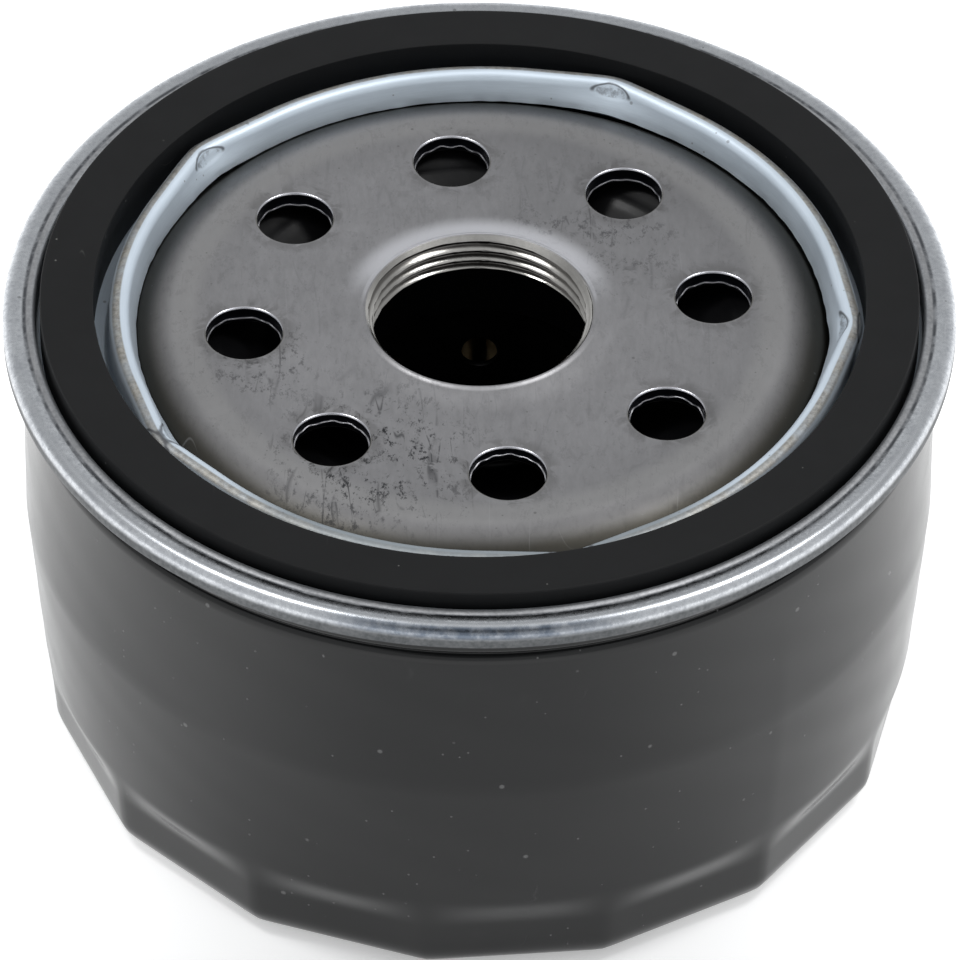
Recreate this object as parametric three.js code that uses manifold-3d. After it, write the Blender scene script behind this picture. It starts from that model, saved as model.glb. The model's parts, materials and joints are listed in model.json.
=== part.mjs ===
// Spin-on oil filter for a small engine, in millimetres, +Z up.
// The origin is the centre of the closed end's resting face; the sealing gasket is at the top.
// Azimuths are in degrees, counterclockwise from +X seen from the gasket end.

import * as THREE from 'three';
import { mergeVertices } from 'three/addons/utils/BufferGeometryUtils.js';
import Module from 'manifold-3d';

const wasm = await Module();
wasm.setup();

// ---------------------------------------------------------------- driving dimensions

const GAP = 0.3; // running and assembly clearance between neighbouring pieces

// Envelope
const RIM_RADIUS = 38; // double seam, outside
const GASKET_TOP = 42; // overall height
const PLATE_TOP = 39.8; // face of the base plate around its inlet holes

// Can: drawn steel cup with wrench flats round its closed end
const CAN_WALL = 0.45;
const CAN_RADIUS = 36.45;
const CAN_FOOT_RADIUS = 34.6; // corner circle of the flats, carried down to the resting face
const TAPER_TOP = 22;
const FOOT_FILLET = 3;
const FLAT_COUNT = 15;
const FLAT_CORNER_AZIMUTH = 191.4;
const FLAT_FULL_BELOW = 5.5; // the flats are at full depth below this height
const FLAT_GONE_ABOVE = 8.7; // and have stepped out into the round wall above this one
const END_RECESS_RADIUS = 12;
const END_RECESS_DEPTH = 0.8;

// Seaming lid: thin sheet with the gasket channel, a lugged inner ridge and the rolled seam
const LID_SHEET = 0.4;
const LID_EDGE_RADIUS = 27.5;
const LID_EDGE_Z = 38.75;
const RIDGE_RADIUS = 29.65;
const RIDGE_WIDTH = 1.45;
const RIDGE_TOP = 40.95;
const CHANNEL_FLOOR = 37.4;
const CHANNEL_RADIUS = 35.3;
const SEAM_TOP = 40.85;
const SEAM_BOTTOM = 38.35;
const BEAD_SECTION_RADIUS = 0.95; // outer bead of the seam, inside which a crease runs round
const CREASE_RADIUS = 36.26;
const CREASE_Z = 40.65;
const LUG_COUNT = 5;
const LUG_AZIMUTH = 140.4;
const LUG_HALF_ANGLE = 13.5; // each lug is a blunt corner whose flanks run tangent to the ridge
const LUG_PUSH = 0.8;

// Base plate: pressed steel with a threaded neck and a ring of inlet holes
const PLATE_SHEET = 1.6;
const PLATE_RADIUS = 34.9;
const PLATE_FLAT_RADIUS = 23.5;
const PLATE_ROLL_RADIUS = 6.4;
const PLATE_STEP_RADIUS = 28.6;
const PLATE_FLANGE_TOP = CHANNEL_FLOOR - LID_SHEET - GAP;
const THREAD_MINOR_RADIUS = 8.5; // the crests of an M18 x 1 internal thread
const NECK_RADIUS = 10.4;
const NECK_BOTTOM = 36.5;
const BORE_MOUTH_RADIUS = 9;
const BORE_RISE = 0.55; // the plate swells up towards the bore's mouth
const BORE_SWELL_RADIUS = 13;
const INLET_COUNT = 8;
const INLET_RADIUS = 3.02;
const INLET_CIRCLE_RADIUS = 18.84;
const INLET_AZIMUTH = 142.1;

// Sealing gasket
const GASKET_INNER = 30.75;
const GASKET_OUTER = 35;

// Filter element
const CAP_SHEET = 0.5;
const CAP_RADIUS = 31;
const CAP_SKIRT = 3.2;
const UPPER_CAP_TOP = 33;
const LOWER_CAP_BOTTOM = 7.2;
const COLLAR_RADIUS = 14;
const COLLAR_LENGTH = 3.7;
const TUBE_RADIUS = 13.2;
const TUBE_WALL = 0.5;
const TUBE_TOP = 30.4;
const TUBE_HOLE_RADIUS = 1.5;
const TUBE_ROWS = [12.5, 18.5, 24.5];
const TUBE_HOLES_PER_ROW = 10;
const POTTING = 0.8;
const PLEAT_COUNT = 40;
const PLEAT_OUTER = 29.8;
const PLEAT_INNER = 14.4;
const PAPER = 0.6;

// Bypass valve, standing on the lower end cap inside the centre tube
const SEAT_BORE = 5;
const SEAT_TOP = 9.4;
const DISC_RADIUS = 7.6;
const DISC_BOTTOM = 11;
const DISC_SHEET = 0.6;
const RIVET_RADIUS = 1.2;
const RIVET_TOP = 21;
const CAGE_TOP = 19.3;
const CAGE_SHEET = 0.7;
const CAGE_LEGS = 3;

// Springs: mean coil radius, wire radius, turns, lowest and highest point
const BYPASS_COIL = { radius: 3.6, wire: 0.35, turns: 4.5, bottom: 11.9, top: 18.3 };
const ELEMENT_COIL = { radius: 17.5, wire: 0.65, turns: 2.75, bottom: 0.75, top: 6.1 };

// ---------------------------------------------------------------- shaping helpers

const radians = THREE.MathUtils.degToRad;

// Points of an arc in the (radius, height) plane, from one angle to another.
function arc(centreR, centreZ, radius, fromDegrees, toDegrees, steps) {
  const points = [];
  for (let i = 0; i <= steps; i++) {
    const angle = radians(fromDegrees + (toDegrees - fromDegrees) * (i / steps));
    points.push([centreR + radius * Math.cos(angle), centreZ + radius * Math.sin(angle)]);
  }
  return points;
}

// Turns corners [r, z, fillet] into points, with each filleted corner as an arc.
function rounded(corners, degreesPerStep = 30) {
  const points = [];
  corners.forEach(([r, z, fillet = 0], i) => {
    if (!fillet) {
      points.push([r, z]);
      return;
    }
    const corner = new THREE.Vector2(r, z);
    const before = corners[(i + corners.length - 1) % corners.length];
    const after = corners[(i + 1) % corners.length];
    const back = new THREE.Vector2(before[0] - r, before[1] - z).normalize();
    const ahead = new THREE.Vector2(after[0] - r, after[1] - z).normalize();
    const half = Math.acos(back.dot(ahead)) / 2;
    const reach = fillet / Math.tan(half);
    const centre = corner.clone().addScaledVector(back.clone().add(ahead).normalize(), fillet / Math.sin(half));
    const start = corner.clone().addScaledVector(back, reach).sub(centre);
    const turn = (Math.PI - 2 * half) * Math.sign(back.cross(ahead)) * -1;
    const steps = Math.max(1, Math.round(THREE.MathUtils.radToDeg(Math.abs(turn)) / degreesPerStep));
    for (let k = 0; k <= steps; k++) {
      const p = start.clone().rotateAround(new THREE.Vector2(), (turn * k) / steps).add(centre);
      points.push([p.x, p.y]);
    }
  });
  return points;
}

// Turns a closed outline, counterclockwise in the (radius, height) plane, about the Z axis.
function revolve(outline, segments, startAzimuth = 0) {
  const points = outline.map(([r, z]) => new THREE.Vector2(r, z));
  if (points[0].x > 0) points.push(points[0].clone());
  const geometry = new THREE.LatheGeometry(points, segments, radians(startAzimuth + 90), 2 * Math.PI);
  return geometry.rotateX(Math.PI / 2);
}

// Moves each vertex along its own radius, to the radius that shape(r, azimuth, z) gives.
function reshape(geometry, shape) {
  const position = geometry.attributes.position;
  for (let i = 0; i < position.count; i++) {
    const x = position.getX(i);
    const y = position.getY(i);
    const r = Math.hypot(x, y);
    if (r < 1e-6) continue;
    const azimuth = THREE.MathUtils.radToDeg(Math.atan2(y, x));
    const scale = shape(r, azimuth, position.getZ(i)) / r;
    position.setXY(i, x * scale, y * scale);
  }
  return geometry;
}

// Signed distance in degrees from an azimuth to the nearest of count equally spaced ones.
function offsetFromNearest(azimuth, first, count) {
  const pitch = 360 / count;
  return azimuth - first - pitch * Math.round((azimuth - first) / pitch);
}

// A three.js geometry as a manifold solid.
function solid(geometry) {
  const bare = geometry.clone();
  bare.deleteAttribute('normal');
  bare.deleteAttribute('uv');
  const merged = mergeVertices(bare, 1e-4);
  const vertProperties = new Float32Array(merged.attributes.position.array);
  const triVerts = new Uint32Array(merged.index.array);
  return new wasm.Manifold(new wasm.Mesh({ numProp: 3, vertProperties, triVerts }));
}

// A manifold solid as a three.js geometry.
function fromSolid(manifold) {
  const mesh = manifold.getMesh();
  const geometry = new THREE.BufferGeometry();
  geometry.setAttribute('position', new THREE.BufferAttribute(new Float32Array(mesh.vertProperties), 3));
  geometry.setIndex(new THREE.BufferAttribute(new Uint32Array(mesh.triVerts), 1));
  geometry.computeVertexNormals();
  return geometry;
}

// A coil spring's centreline, with its end turns laid flat.
class CoilCurve extends THREE.Curve {
  constructor({ radius, wire, turns, bottom, top }) {
    super();
    this.radius = radius;
    this.turns = turns;
    this.low = bottom + wire;
    this.high = top - wire;
  }

  getPoint(t, target = new THREE.Vector3()) {
    const angle = 2 * Math.PI * this.turns * t;
    const deadShare = 0.75 / this.turns;
    const rise = THREE.MathUtils.clamp((t - deadShare) / (1 - 2 * deadShare), 0, 1);
    const z = this.low + (this.high - this.low) * rise;
    return target.set(this.radius * Math.cos(angle), this.radius * Math.sin(angle), z);
  }
}

// ---------------------------------------------------------------- materials

function finish(color, roughness, metalness) {
  return new THREE.MeshStandardMaterial({ color, roughness, metalness });
}

const canPaint = finish(0x35373a, 0.35, 0.4);
const zincPlate = finish(0xa9b2bb, 0.4, 1);
const bareSteel = finish(0x8a8580, 0.38, 1);
const blackRubber = finish(0x1c1d1f, 0.7, 0);
const tinPlate = finish(0xb4b5b2, 0.35, 1);
const darkSteel = finish(0x3a3a3b, 0.45, 0.8);
const springSteel = finish(0x6f6e6b, 0.4, 1);
const filterPaper = finish(0xd9c58c, 0.9, 0);
const adhesive = finish(0xb5803a, 0.5, 0);
const sealant = finish(0x5a6a70, 0.6, 0);

const filter = new THREE.Group();

function add(name, geometry, material) {
  const mesh = new THREE.Mesh(geometry, material);
  mesh.name = name;
  filter.add(mesh);
}

// ---------------------------------------------------------------- housing

// Outside radius of the can's corners at a height.
function canRadius(z) {
  return CAN_FOOT_RADIUS + (CAN_RADIUS - CAN_FOOT_RADIUS) * Math.min(1, z / TAPER_TOP);
}

// How far the wall at a height has turned from round (0) into the wrench polygon (1).
function flatShare(z) {
  return 1 - THREE.MathUtils.smoothstep(z, FLAT_FULL_BELOW, FLAT_GONE_ABOVE);
}

function canGeometry() {
  const halfFlat = 180 / FLAT_COUNT;
  const flatMiddle = (FLAT_FULL_BELOW + FLAT_GONE_ABOVE) / 2;
  const wallHeights = [FLAT_FULL_BELOW, flatMiddle, FLAT_GONE_ABOVE, TAPER_TOP];
  const hookZ = 39.15;
  const hookTop = 39.5;
  const hookRadius = 36.85;
  const recessFoot = END_RECESS_RADIUS + 1.5;
  const outline = rounded([
    [0, END_RECESS_DEPTH],
    [END_RECESS_RADIUS, END_RECESS_DEPTH],
    [recessFoot, 0],
    [canRadius(0), 0, FOOT_FILLET],
    ...wallHeights.map((z) => [canRadius(z), z]),
    [CAN_RADIUS, hookZ],
    [hookRadius, hookZ],
    [hookRadius, hookTop],
    [CAN_RADIUS - CAN_WALL, hookTop],
    ...wallHeights.toReversed().map((z) => [canRadius(z) - CAN_WALL, z]),
    [canRadius(CAN_WALL) - CAN_WALL, CAN_WALL, FOOT_FILLET - CAN_WALL],
    [recessFoot + 0.2, CAN_WALL],
    [END_RECESS_RADIUS + 0.2, END_RECESS_DEPTH + CAN_WALL],
    [0, END_RECESS_DEPTH + CAN_WALL],
  ]);
  return reshape(revolve(outline, 4 * FLAT_COUNT, FLAT_CORNER_AZIMUTH), (r, azimuth, z) => {
    const fromCentre = offsetFromNearest(azimuth, FLAT_CORNER_AZIMUTH + halfFlat, FLAT_COUNT);
    const polygon = Math.cos(radians(halfFlat)) / Math.cos(radians(fromCentre));
    return r * THREE.MathUtils.lerp(1, polygon, flatShare(z));
  });
}

function lidGeometry() {
  const slotInner = CHANNEL_RADIUS + LID_SHEET;
  const slotMouth = CAN_RADIUS + GAP;
  const slotOuter = 37.15;
  const slotShoulder = 38.9;
  const slotTop = 40.25;
  const ridgeInner = RIDGE_RADIUS - RIDGE_WIDTH;
  const slope = new THREE.Vector2(ridgeInner - LID_EDGE_RADIUS, RIDGE_TOP - LID_EDGE_Z).normalize();
  const edgeR = LID_EDGE_RADIUS + LID_SHEET * slope.y;
  const edgeZ = LID_EDGE_Z - LID_SHEET * slope.x;
  const underTop = RIDGE_TOP - LID_SHEET;
  const underside = rounded([
    [edgeR, edgeZ],
    [edgeR + ((underTop - edgeZ) * slope.x) / slope.y, underTop],
    [RIDGE_RADIUS - LID_SHEET, underTop],
    [RIDGE_RADIUS - LID_SHEET, CHANNEL_FLOOR - LID_SHEET],
    [slotInner, CHANNEL_FLOOR - LID_SHEET],
    [slotInner, slotTop],
    [slotOuter, slotTop],
    [slotOuter, slotShoulder],
    [slotMouth, slotShoulder],
    [slotMouth, SEAM_BOTTOM],
    [37.7, SEAM_BOTTOM],
  ]);
  const beadCentreR = RIM_RADIUS - BEAD_SECTION_RADIUS;
  const beadCentreZ = SEAM_TOP - BEAD_SECTION_RADIUS;
  const seamTop = [
    ...arc(beadCentreR, beadCentreZ, BEAD_SECTION_RADIUS, 0, 90, 4),
    [CREASE_RADIUS, CREASE_Z],
    [CHANNEL_RADIUS + 0.45, SEAM_TOP],
  ];
  const topside = rounded([
    [CHANNEL_RADIUS, SEAM_TOP - 0.25],
    [CHANNEL_RADIUS, CHANNEL_FLOOR],
    [RIDGE_RADIUS, CHANNEL_FLOOR],
    [RIDGE_RADIUS, RIDGE_TOP, 0.6],
    [ridgeInner, RIDGE_TOP, 0.6],
    [LID_EDGE_RADIUS, LID_EDGE_Z],
  ], 45);
  const lid = revolve([...underside, ...seamTop, ...topside], 60);
  const lugTip = 1 / Math.cos(radians(LUG_HALF_ANGLE)) - 1;
  return reshape(lid, (r, azimuth, z) => {
    const onRidge = r < RIDGE_RADIUS + 0.1 ? 1 : 0;
    const fromTip = Math.abs(offsetFromNearest(azimuth, LUG_AZIMUTH, LUG_COUNT));
    const fromTangent = Math.max(0, LUG_HALF_ANGLE - fromTip);
    const bump = (1 / Math.cos(radians(fromTangent)) - 1) / lugTip;
    const rise = THREE.MathUtils.smoothstep(z, CHANNEL_FLOOR, LID_EDGE_Z);
    const lean = THREE.MathUtils.lerp(0.6, 1, THREE.MathUtils.smoothstep(z, LID_EDGE_Z, RIDGE_TOP));
    return r + LUG_PUSH * onRidge * bump * rise * lean;
  });
}

function basePlateGeometry() {
  const rollZ = PLATE_TOP - PLATE_ROLL_RADIUS;
  const stepDegrees = THREE.MathUtils.radToDeg(
    Math.acos((PLATE_STEP_RADIUS - PLATE_FLAT_RADIUS) / PLATE_ROLL_RADIUS),
  );
  const underRoll = PLATE_ROLL_RADIUS - PLATE_SHEET;
  const underStep = PLATE_STEP_RADIUS - PLATE_SHEET;
  const underDegrees = THREE.MathUtils.radToDeg(Math.acos((underStep - PLATE_FLAT_RADIUS) / underRoll));
  const flangeBottom = PLATE_FLANGE_TOP - PLATE_SHEET;
  const mouthZ = PLATE_TOP + BORE_RISE;
  const outline = [
    [THREAD_MINOR_RADIUS, NECK_BOTTOM],
    [NECK_RADIUS, NECK_BOTTOM],
    [NECK_RADIUS, PLATE_TOP - PLATE_SHEET],
    ...arc(PLATE_FLAT_RADIUS, rollZ, underRoll, 90, underDegrees, 3),
    [underStep, flangeBottom],
    [PLATE_RADIUS, flangeBottom],
    [PLATE_RADIUS, PLATE_FLANGE_TOP],
    [PLATE_STEP_RADIUS, PLATE_FLANGE_TOP],
    ...arc(PLATE_FLAT_RADIUS, rollZ, PLATE_ROLL_RADIUS, stepDegrees, 90, 3),
    [BORE_SWELL_RADIUS, PLATE_TOP],
    [(BORE_SWELL_RADIUS + BORE_MOUTH_RADIUS) / 2, PLATE_TOP + BORE_RISE / 4],
    [BORE_MOUTH_RADIUS, mouthZ],
    [THREAD_MINOR_RADIUS, mouthZ - 0.6],
  ];
  const inlets = [];
  for (let i = 0; i < INLET_COUNT; i++) {
    const angle = radians(INLET_AZIMUTH + (360 / INLET_COUNT) * i);
    const inlet = new THREE.CylinderGeometry(INLET_RADIUS, INLET_RADIUS, 6, 18).rotateX(Math.PI / 2);
    inlet.translate(
      INLET_CIRCLE_RADIUS * Math.cos(angle),
      INLET_CIRCLE_RADIUS * Math.sin(angle),
      PLATE_TOP - PLATE_SHEET / 2,
    );
    inlets.push(solid(inlet));
  }
  const plate = solid(revolve(outline, 48));
  return fromSolid(inlets.reduce((body, inlet) => body.subtract(inlet), plate));
}

function gasketGeometry() {
  return revolve(rounded([
    [GASKET_INNER, CHANNEL_FLOOR + GAP],
    [GASKET_OUTER, CHANNEL_FLOOR + GAP],
    [GASKET_OUTER, GASKET_TOP, 0.15],
    [GASKET_INNER, GASKET_TOP, 0.15],
  ], 90), 60);
}

add('can', canGeometry(), canPaint);
add('seaming_lid', lidGeometry(), zincPlate);
add('seam_compound', revolve([[36.05, 39.75], [36.85, 39.75], [36.85, 40], [36.05, 40]], 36), sealant);
add('base_plate', basePlateGeometry(), bareSteel);
add('sealing_gasket', gasketGeometry(), blackRubber);

// ---------------------------------------------------------------- anti-drain valve

// One rubber moulding: a nose and shoulder on the element, and a cone whose lip closes the inlets.
function drainValveGeometry() {
  const inner = NECK_RADIUS + GAP;
  const shoulder = UPPER_CAP_TOP + GAP;
  const lipTop = PLATE_TOP - PLATE_SHEET - GAP;
  return revolve(rounded([
    [inner, TUBE_TOP + GAP],
    [TUBE_RADIUS, TUBE_TOP + GAP],
    [TUBE_RADIUS, shoulder],
    [16.2, shoulder],
    [24.3, lipTop - 1],
    [24.3, lipTop, 0.4],
    [22.9, lipTop],
    [15.4, shoulder + 1.5],
    [inner + 1.9, shoulder + 1.5],
    [inner + 1.5, lipTop],
    [inner, lipTop],
  ], 90), 36);
}

add('anti_drain_valve', drainValveGeometry(), blackRubber);

// ---------------------------------------------------------------- filter element

function upperCapGeometry() {
  const under = UPPER_CAP_TOP - CAP_SHEET;
  const collarInner = COLLAR_RADIUS - CAP_SHEET;
  return revolve(rounded([
    [collarInner, UPPER_CAP_TOP - COLLAR_LENGTH],
    [COLLAR_RADIUS, UPPER_CAP_TOP - COLLAR_LENGTH],
    [COLLAR_RADIUS, under],
    [CAP_RADIUS - CAP_SHEET, under],
    [CAP_RADIUS - CAP_SHEET, UPPER_CAP_TOP - CAP_SKIRT],
    [CAP_RADIUS, UPPER_CAP_TOP - CAP_SKIRT],
    [CAP_RADIUS, UPPER_CAP_TOP, 0.5],
    [collarInner, UPPER_CAP_TOP],
  ], 90), 36);
}

function lowerCapGeometry() {
  const top = LOWER_CAP_BOTTOM + CAP_SHEET;
  const rimTop = LOWER_CAP_BOTTOM + CAP_SKIRT;
  const portRadius = SEAT_BORE + CAGE_SHEET + 2 * GAP;
  return revolve(rounded([
    [portRadius, LOWER_CAP_BOTTOM],
    [CAP_RADIUS, LOWER_CAP_BOTTOM, 0.5],
    [CAP_RADIUS, rimTop],
    [CAP_RADIUS - CAP_SHEET, rimTop],
    [CAP_RADIUS - CAP_SHEET, top],
    [portRadius, top],
  ], 90), 36);
}

function centreTubeGeometry() {
  const bottom = LOWER_CAP_BOTTOM + CAP_SHEET + GAP;
  const tube = solid(revolve([
    [TUBE_RADIUS - TUBE_WALL, bottom],
    [TUBE_RADIUS, bottom],
    [TUBE_RADIUS, TUBE_TOP],
    [TUBE_RADIUS - TUBE_WALL, TUBE_TOP],
  ], 30));
  const drills = [];
  TUBE_ROWS.forEach((z, row) => {
    for (let i = 0; i < TUBE_HOLES_PER_ROW / 2; i++) {
      const azimuth = (360 / TUBE_HOLES_PER_ROW) * (i + (row % 2) / 2);
      const drill = new THREE.CylinderGeometry(TUBE_HOLE_RADIUS, TUBE_HOLE_RADIUS, 3 * TUBE_RADIUS, 8);
      drills.push(solid(drill.rotateZ(radians(azimuth)).translate(0, 0, z)));
    }
  });
  return fromSolid(drills.reduce((body, drill) => body.subtract(drill), tube));
}

// A closed zigzag of paper. The outer contour has blunt tips and sharp valleys, the inner one the reverse.
function mediaGeometry(bottom, top) {
  const pitch = 360 / PLEAT_COUNT;
  const halfTip = 0.5;
  const place = (path, radius, degrees, sideways) => {
    const angle = radians(degrees);
    const x = radius * Math.cos(angle) - sideways * Math.sin(angle);
    const y = radius * Math.sin(angle) + sideways * Math.cos(angle);
    path.push(new THREE.Vector2(x, y));
  };
  const outer = [];
  const inner = [];
  for (let i = 0; i < PLEAT_COUNT; i++) {
    place(outer, PLEAT_OUTER, i * pitch, -halfTip);
    place(outer, PLEAT_OUTER, i * pitch, halfTip);
    place(outer, PLEAT_INNER + PAPER, (i + 0.5) * pitch, 0);
    place(inner, PLEAT_OUTER - 1.4 * PAPER, i * pitch, 0);
    place(inner, PLEAT_INNER, (i + 0.5) * pitch, -halfTip);
    place(inner, PLEAT_INNER, (i + 0.5) * pitch, halfTip);
  }
  const shape = new THREE.Shape(outer);
  shape.holes.push(new THREE.Path(inner));
  const media = new THREE.ExtrudeGeometry(shape, { depth: top - bottom, bevelEnabled: false });
  return media.translate(0, 0, bottom);
}

function pottingGeometry(bottom) {
  return revolve([
    [COLLAR_RADIUS + GAP, bottom],
    [CAP_RADIUS - CAP_SHEET - GAP, bottom],
    [CAP_RADIUS - CAP_SHEET - GAP, bottom + POTTING],
    [COLLAR_RADIUS + GAP, bottom + POTTING],
  ], 36);
}

// A folded steel strip that grips the pleat where the paper's two ends meet.
function seamClipGeometry(bottom, top) {
  const web = PLEAT_OUTER + GAP;
  const reach = PLEAT_OUTER - 2.8;
  const inside = 0.95;
  const outside = inside + GAP;
  const channel = new THREE.Shape([
    new THREE.Vector2(reach, -outside),
    new THREE.Vector2(web + GAP, -outside),
    new THREE.Vector2(web + GAP, outside),
    new THREE.Vector2(reach, outside),
    new THREE.Vector2(reach, inside),
    new THREE.Vector2(web, inside),
    new THREE.Vector2(web, -inside),
    new THREE.Vector2(reach, -inside),
  ]);
  const clip = new THREE.ExtrudeGeometry(channel, { depth: top - bottom, bevelEnabled: false });
  return clip.translate(0, 0, bottom);
}

const lowerPottingBottom = LOWER_CAP_BOTTOM + CAP_SHEET + GAP;
const upperPottingBottom = UPPER_CAP_TOP - CAP_SHEET - GAP - POTTING;
const mediaBottom = lowerPottingBottom + POTTING + GAP;
const mediaTop = upperPottingBottom - GAP;
const clipBottom = LOWER_CAP_BOTTOM + CAP_SKIRT + GAP;
const clipTop = UPPER_CAP_TOP - CAP_SKIRT - GAP;

add('upper_end_cap', upperCapGeometry(), tinPlate);
add('lower_end_cap', lowerCapGeometry(), tinPlate);
add('centre_tube', centreTubeGeometry(), darkSteel);
add('pleated_media', mediaGeometry(mediaBottom, mediaTop), filterPaper);
add('media_seam_clip', seamClipGeometry(clipBottom, clipTop), tinPlate);
add('upper_potting', pottingGeometry(upperPottingBottom), adhesive);
add('lower_potting', pottingGeometry(lowerPottingBottom), adhesive);

// ---------------------------------------------------------------- bypass valve

// Flanged ring with a raised seat; its lip passes down through the lower end cap.
function seatGeometry() {
  const flangeBottom = LOWER_CAP_BOTTOM + CAP_SHEET + GAP;
  const lipOuter = SEAT_BORE + 1;
  return revolve([
    [SEAT_BORE, LOWER_CAP_BOTTOM - GAP],
    [lipOuter, LOWER_CAP_BOTTOM - GAP],
    [lipOuter, flangeBottom],
    [TUBE_RADIUS - TUBE_WALL - GAP, flangeBottom],
    [TUBE_RADIUS - TUBE_WALL - GAP, flangeBottom + CAP_SHEET],
    [lipOuter, flangeBottom + CAP_SHEET],
    [lipOuter - 0.2, SEAT_TOP],
    [SEAT_BORE, SEAT_TOP],
  ], 28);
}

// A guide ring for the rivet, carried over the seat on folded legs.
function cageGeometry() {
  const legBottom = LOWER_CAP_BOTTOM + 2 * CAP_SHEET + 2 * GAP;
  const legOuter = 10.3;
  const legWidth = 3;
  const guideInner = RIVET_RADIUS + 0.4;
  let cage = solid(revolve([
    [guideInner, CAGE_TOP - CAGE_SHEET],
    [5.2, CAGE_TOP - CAGE_SHEET],
    [5.2, CAGE_TOP],
    [guideInner, CAGE_TOP],
  ], 24));
  for (let i = 0; i < CAGE_LEGS; i++) {
    const arm = new THREE.BoxGeometry(legOuter - 4, legWidth, CAGE_SHEET);
    arm.translate((legOuter + 4) / 2, 0, CAGE_TOP - CAGE_SHEET / 2);
    const leg = new THREE.BoxGeometry(CAGE_SHEET, legWidth, CAGE_TOP - legBottom);
    leg.translate(legOuter - CAGE_SHEET / 2, 0, (CAGE_TOP + legBottom) / 2);
    for (const strip of [arm, leg]) {
      cage = cage.add(solid(strip.rotateZ((2 * Math.PI * i) / CAGE_LEGS)));
    }
  }
  return fromSolid(cage);
}

function discGeometry() {
  return revolve([
    [RIVET_RADIUS + GAP, DISC_BOTTOM],
    [DISC_RADIUS, DISC_BOTTOM],
    [DISC_RADIUS, DISC_BOTTOM + DISC_SHEET],
    [RIVET_RADIUS + GAP, DISC_BOTTOM + DISC_SHEET],
  ], 28);
}

function sealGeometry() {
  return revolve([
    [RIVET_RADIUS + GAP, SEAT_TOP + GAP],
    [DISC_RADIUS - 0.4, SEAT_TOP + GAP],
    [DISC_RADIUS - 0.4, DISC_BOTTOM - GAP],
    [RIVET_RADIUS + GAP, DISC_BOTTOM - GAP],
  ], 28);
}

function rivetGeometry() {
  return revolve(rounded([
    [0, SEAT_TOP - 0.5],
    [3.2, SEAT_TOP - 0.5],
    [3.2, SEAT_TOP],
    [RIVET_RADIUS, SEAT_TOP],
    [RIVET_RADIUS, RIVET_TOP, 0.4],
    [0, RIVET_TOP],
  ], 45), 16);
}

// Round wire swept along a coil.
function coilGeometry(coil, stepsPerTurn) {
  const section = new THREE.Shape();
  for (let i = 0; i < 6; i++) {
    const angle = (Math.PI / 3) * i;
    const x = coil.wire * Math.cos(angle);
    const y = coil.wire * Math.sin(angle);
    if (i === 0) section.moveTo(x, y);
    else section.lineTo(x, y);
  }
  const steps = Math.round(coil.turns * stepsPerTurn);
  return new THREE.ExtrudeGeometry(section, { steps, extrudePath: new CoilCurve(coil), bevelEnabled: false });
}

// A shallow ring cup that carries the element on its spring.
function springSeatGeometry() {
  const top = LOWER_CAP_BOTTOM - GAP;
  const lipInner = ELEMENT_COIL.radius + ELEMENT_COIL.wire + GAP;
  return revolve(rounded([
    [14.5, top - CAP_SHEET],
    [lipInner, top - CAP_SHEET],
    [lipInner, top - 2],
    [lipInner + CAP_SHEET, top - 2],
    [lipInner + CAP_SHEET, top, 0.4],
    [14.5, top],
  ], 90), 30);
}

add('bypass_seat', seatGeometry(), darkSteel);
add('bypass_cage', cageGeometry(), darkSteel);
add('bypass_disc', discGeometry(), darkSteel);
add('bypass_seal', sealGeometry(), blackRubber);
add('bypass_rivet', rivetGeometry(), springSteel);
add('bypass_spring', coilGeometry(BYPASS_COIL, 12), springSteel);
add('element_spring', coilGeometry(ELEMENT_COIL, 20), springSteel);
add('spring_seat', springSeatGeometry(), tinPlate);

export default filter;
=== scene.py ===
"""Spin-on oil filter: the looks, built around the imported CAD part. Lengths are millimetres until make()."""

import json
import math
from functools import reduce

import bmesh
import bpy
import numpy as np
from mathutils import Matrix, Vector

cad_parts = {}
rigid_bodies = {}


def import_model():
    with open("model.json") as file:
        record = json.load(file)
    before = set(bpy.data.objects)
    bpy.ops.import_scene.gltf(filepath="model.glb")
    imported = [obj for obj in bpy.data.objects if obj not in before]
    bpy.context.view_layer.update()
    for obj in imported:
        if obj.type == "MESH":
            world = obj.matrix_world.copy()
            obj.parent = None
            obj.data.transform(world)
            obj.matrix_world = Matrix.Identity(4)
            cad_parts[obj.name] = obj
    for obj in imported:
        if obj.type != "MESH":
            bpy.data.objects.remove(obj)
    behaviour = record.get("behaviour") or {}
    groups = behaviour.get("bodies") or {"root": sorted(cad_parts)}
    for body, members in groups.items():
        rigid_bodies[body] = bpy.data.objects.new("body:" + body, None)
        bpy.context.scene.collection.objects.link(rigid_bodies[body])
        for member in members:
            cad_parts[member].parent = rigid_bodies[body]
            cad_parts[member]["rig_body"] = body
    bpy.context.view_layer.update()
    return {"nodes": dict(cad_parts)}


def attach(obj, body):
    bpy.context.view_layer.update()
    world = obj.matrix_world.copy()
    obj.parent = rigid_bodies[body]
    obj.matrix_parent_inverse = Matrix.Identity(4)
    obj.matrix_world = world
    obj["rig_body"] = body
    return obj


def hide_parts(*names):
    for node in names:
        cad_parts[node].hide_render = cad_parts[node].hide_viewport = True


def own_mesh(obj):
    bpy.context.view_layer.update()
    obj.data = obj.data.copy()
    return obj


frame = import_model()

MM = 0.001


# ---- shaping helpers


def arc(centre_r, centre_z, radius, start, end, steps):
    """Points of an arc in the (radius, height) plane."""
    angles = np.radians(np.linspace(start, end, steps + 1))
    return [[centre_r + radius * math.cos(a), centre_z + radius * math.sin(a)] for a in angles]


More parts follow.
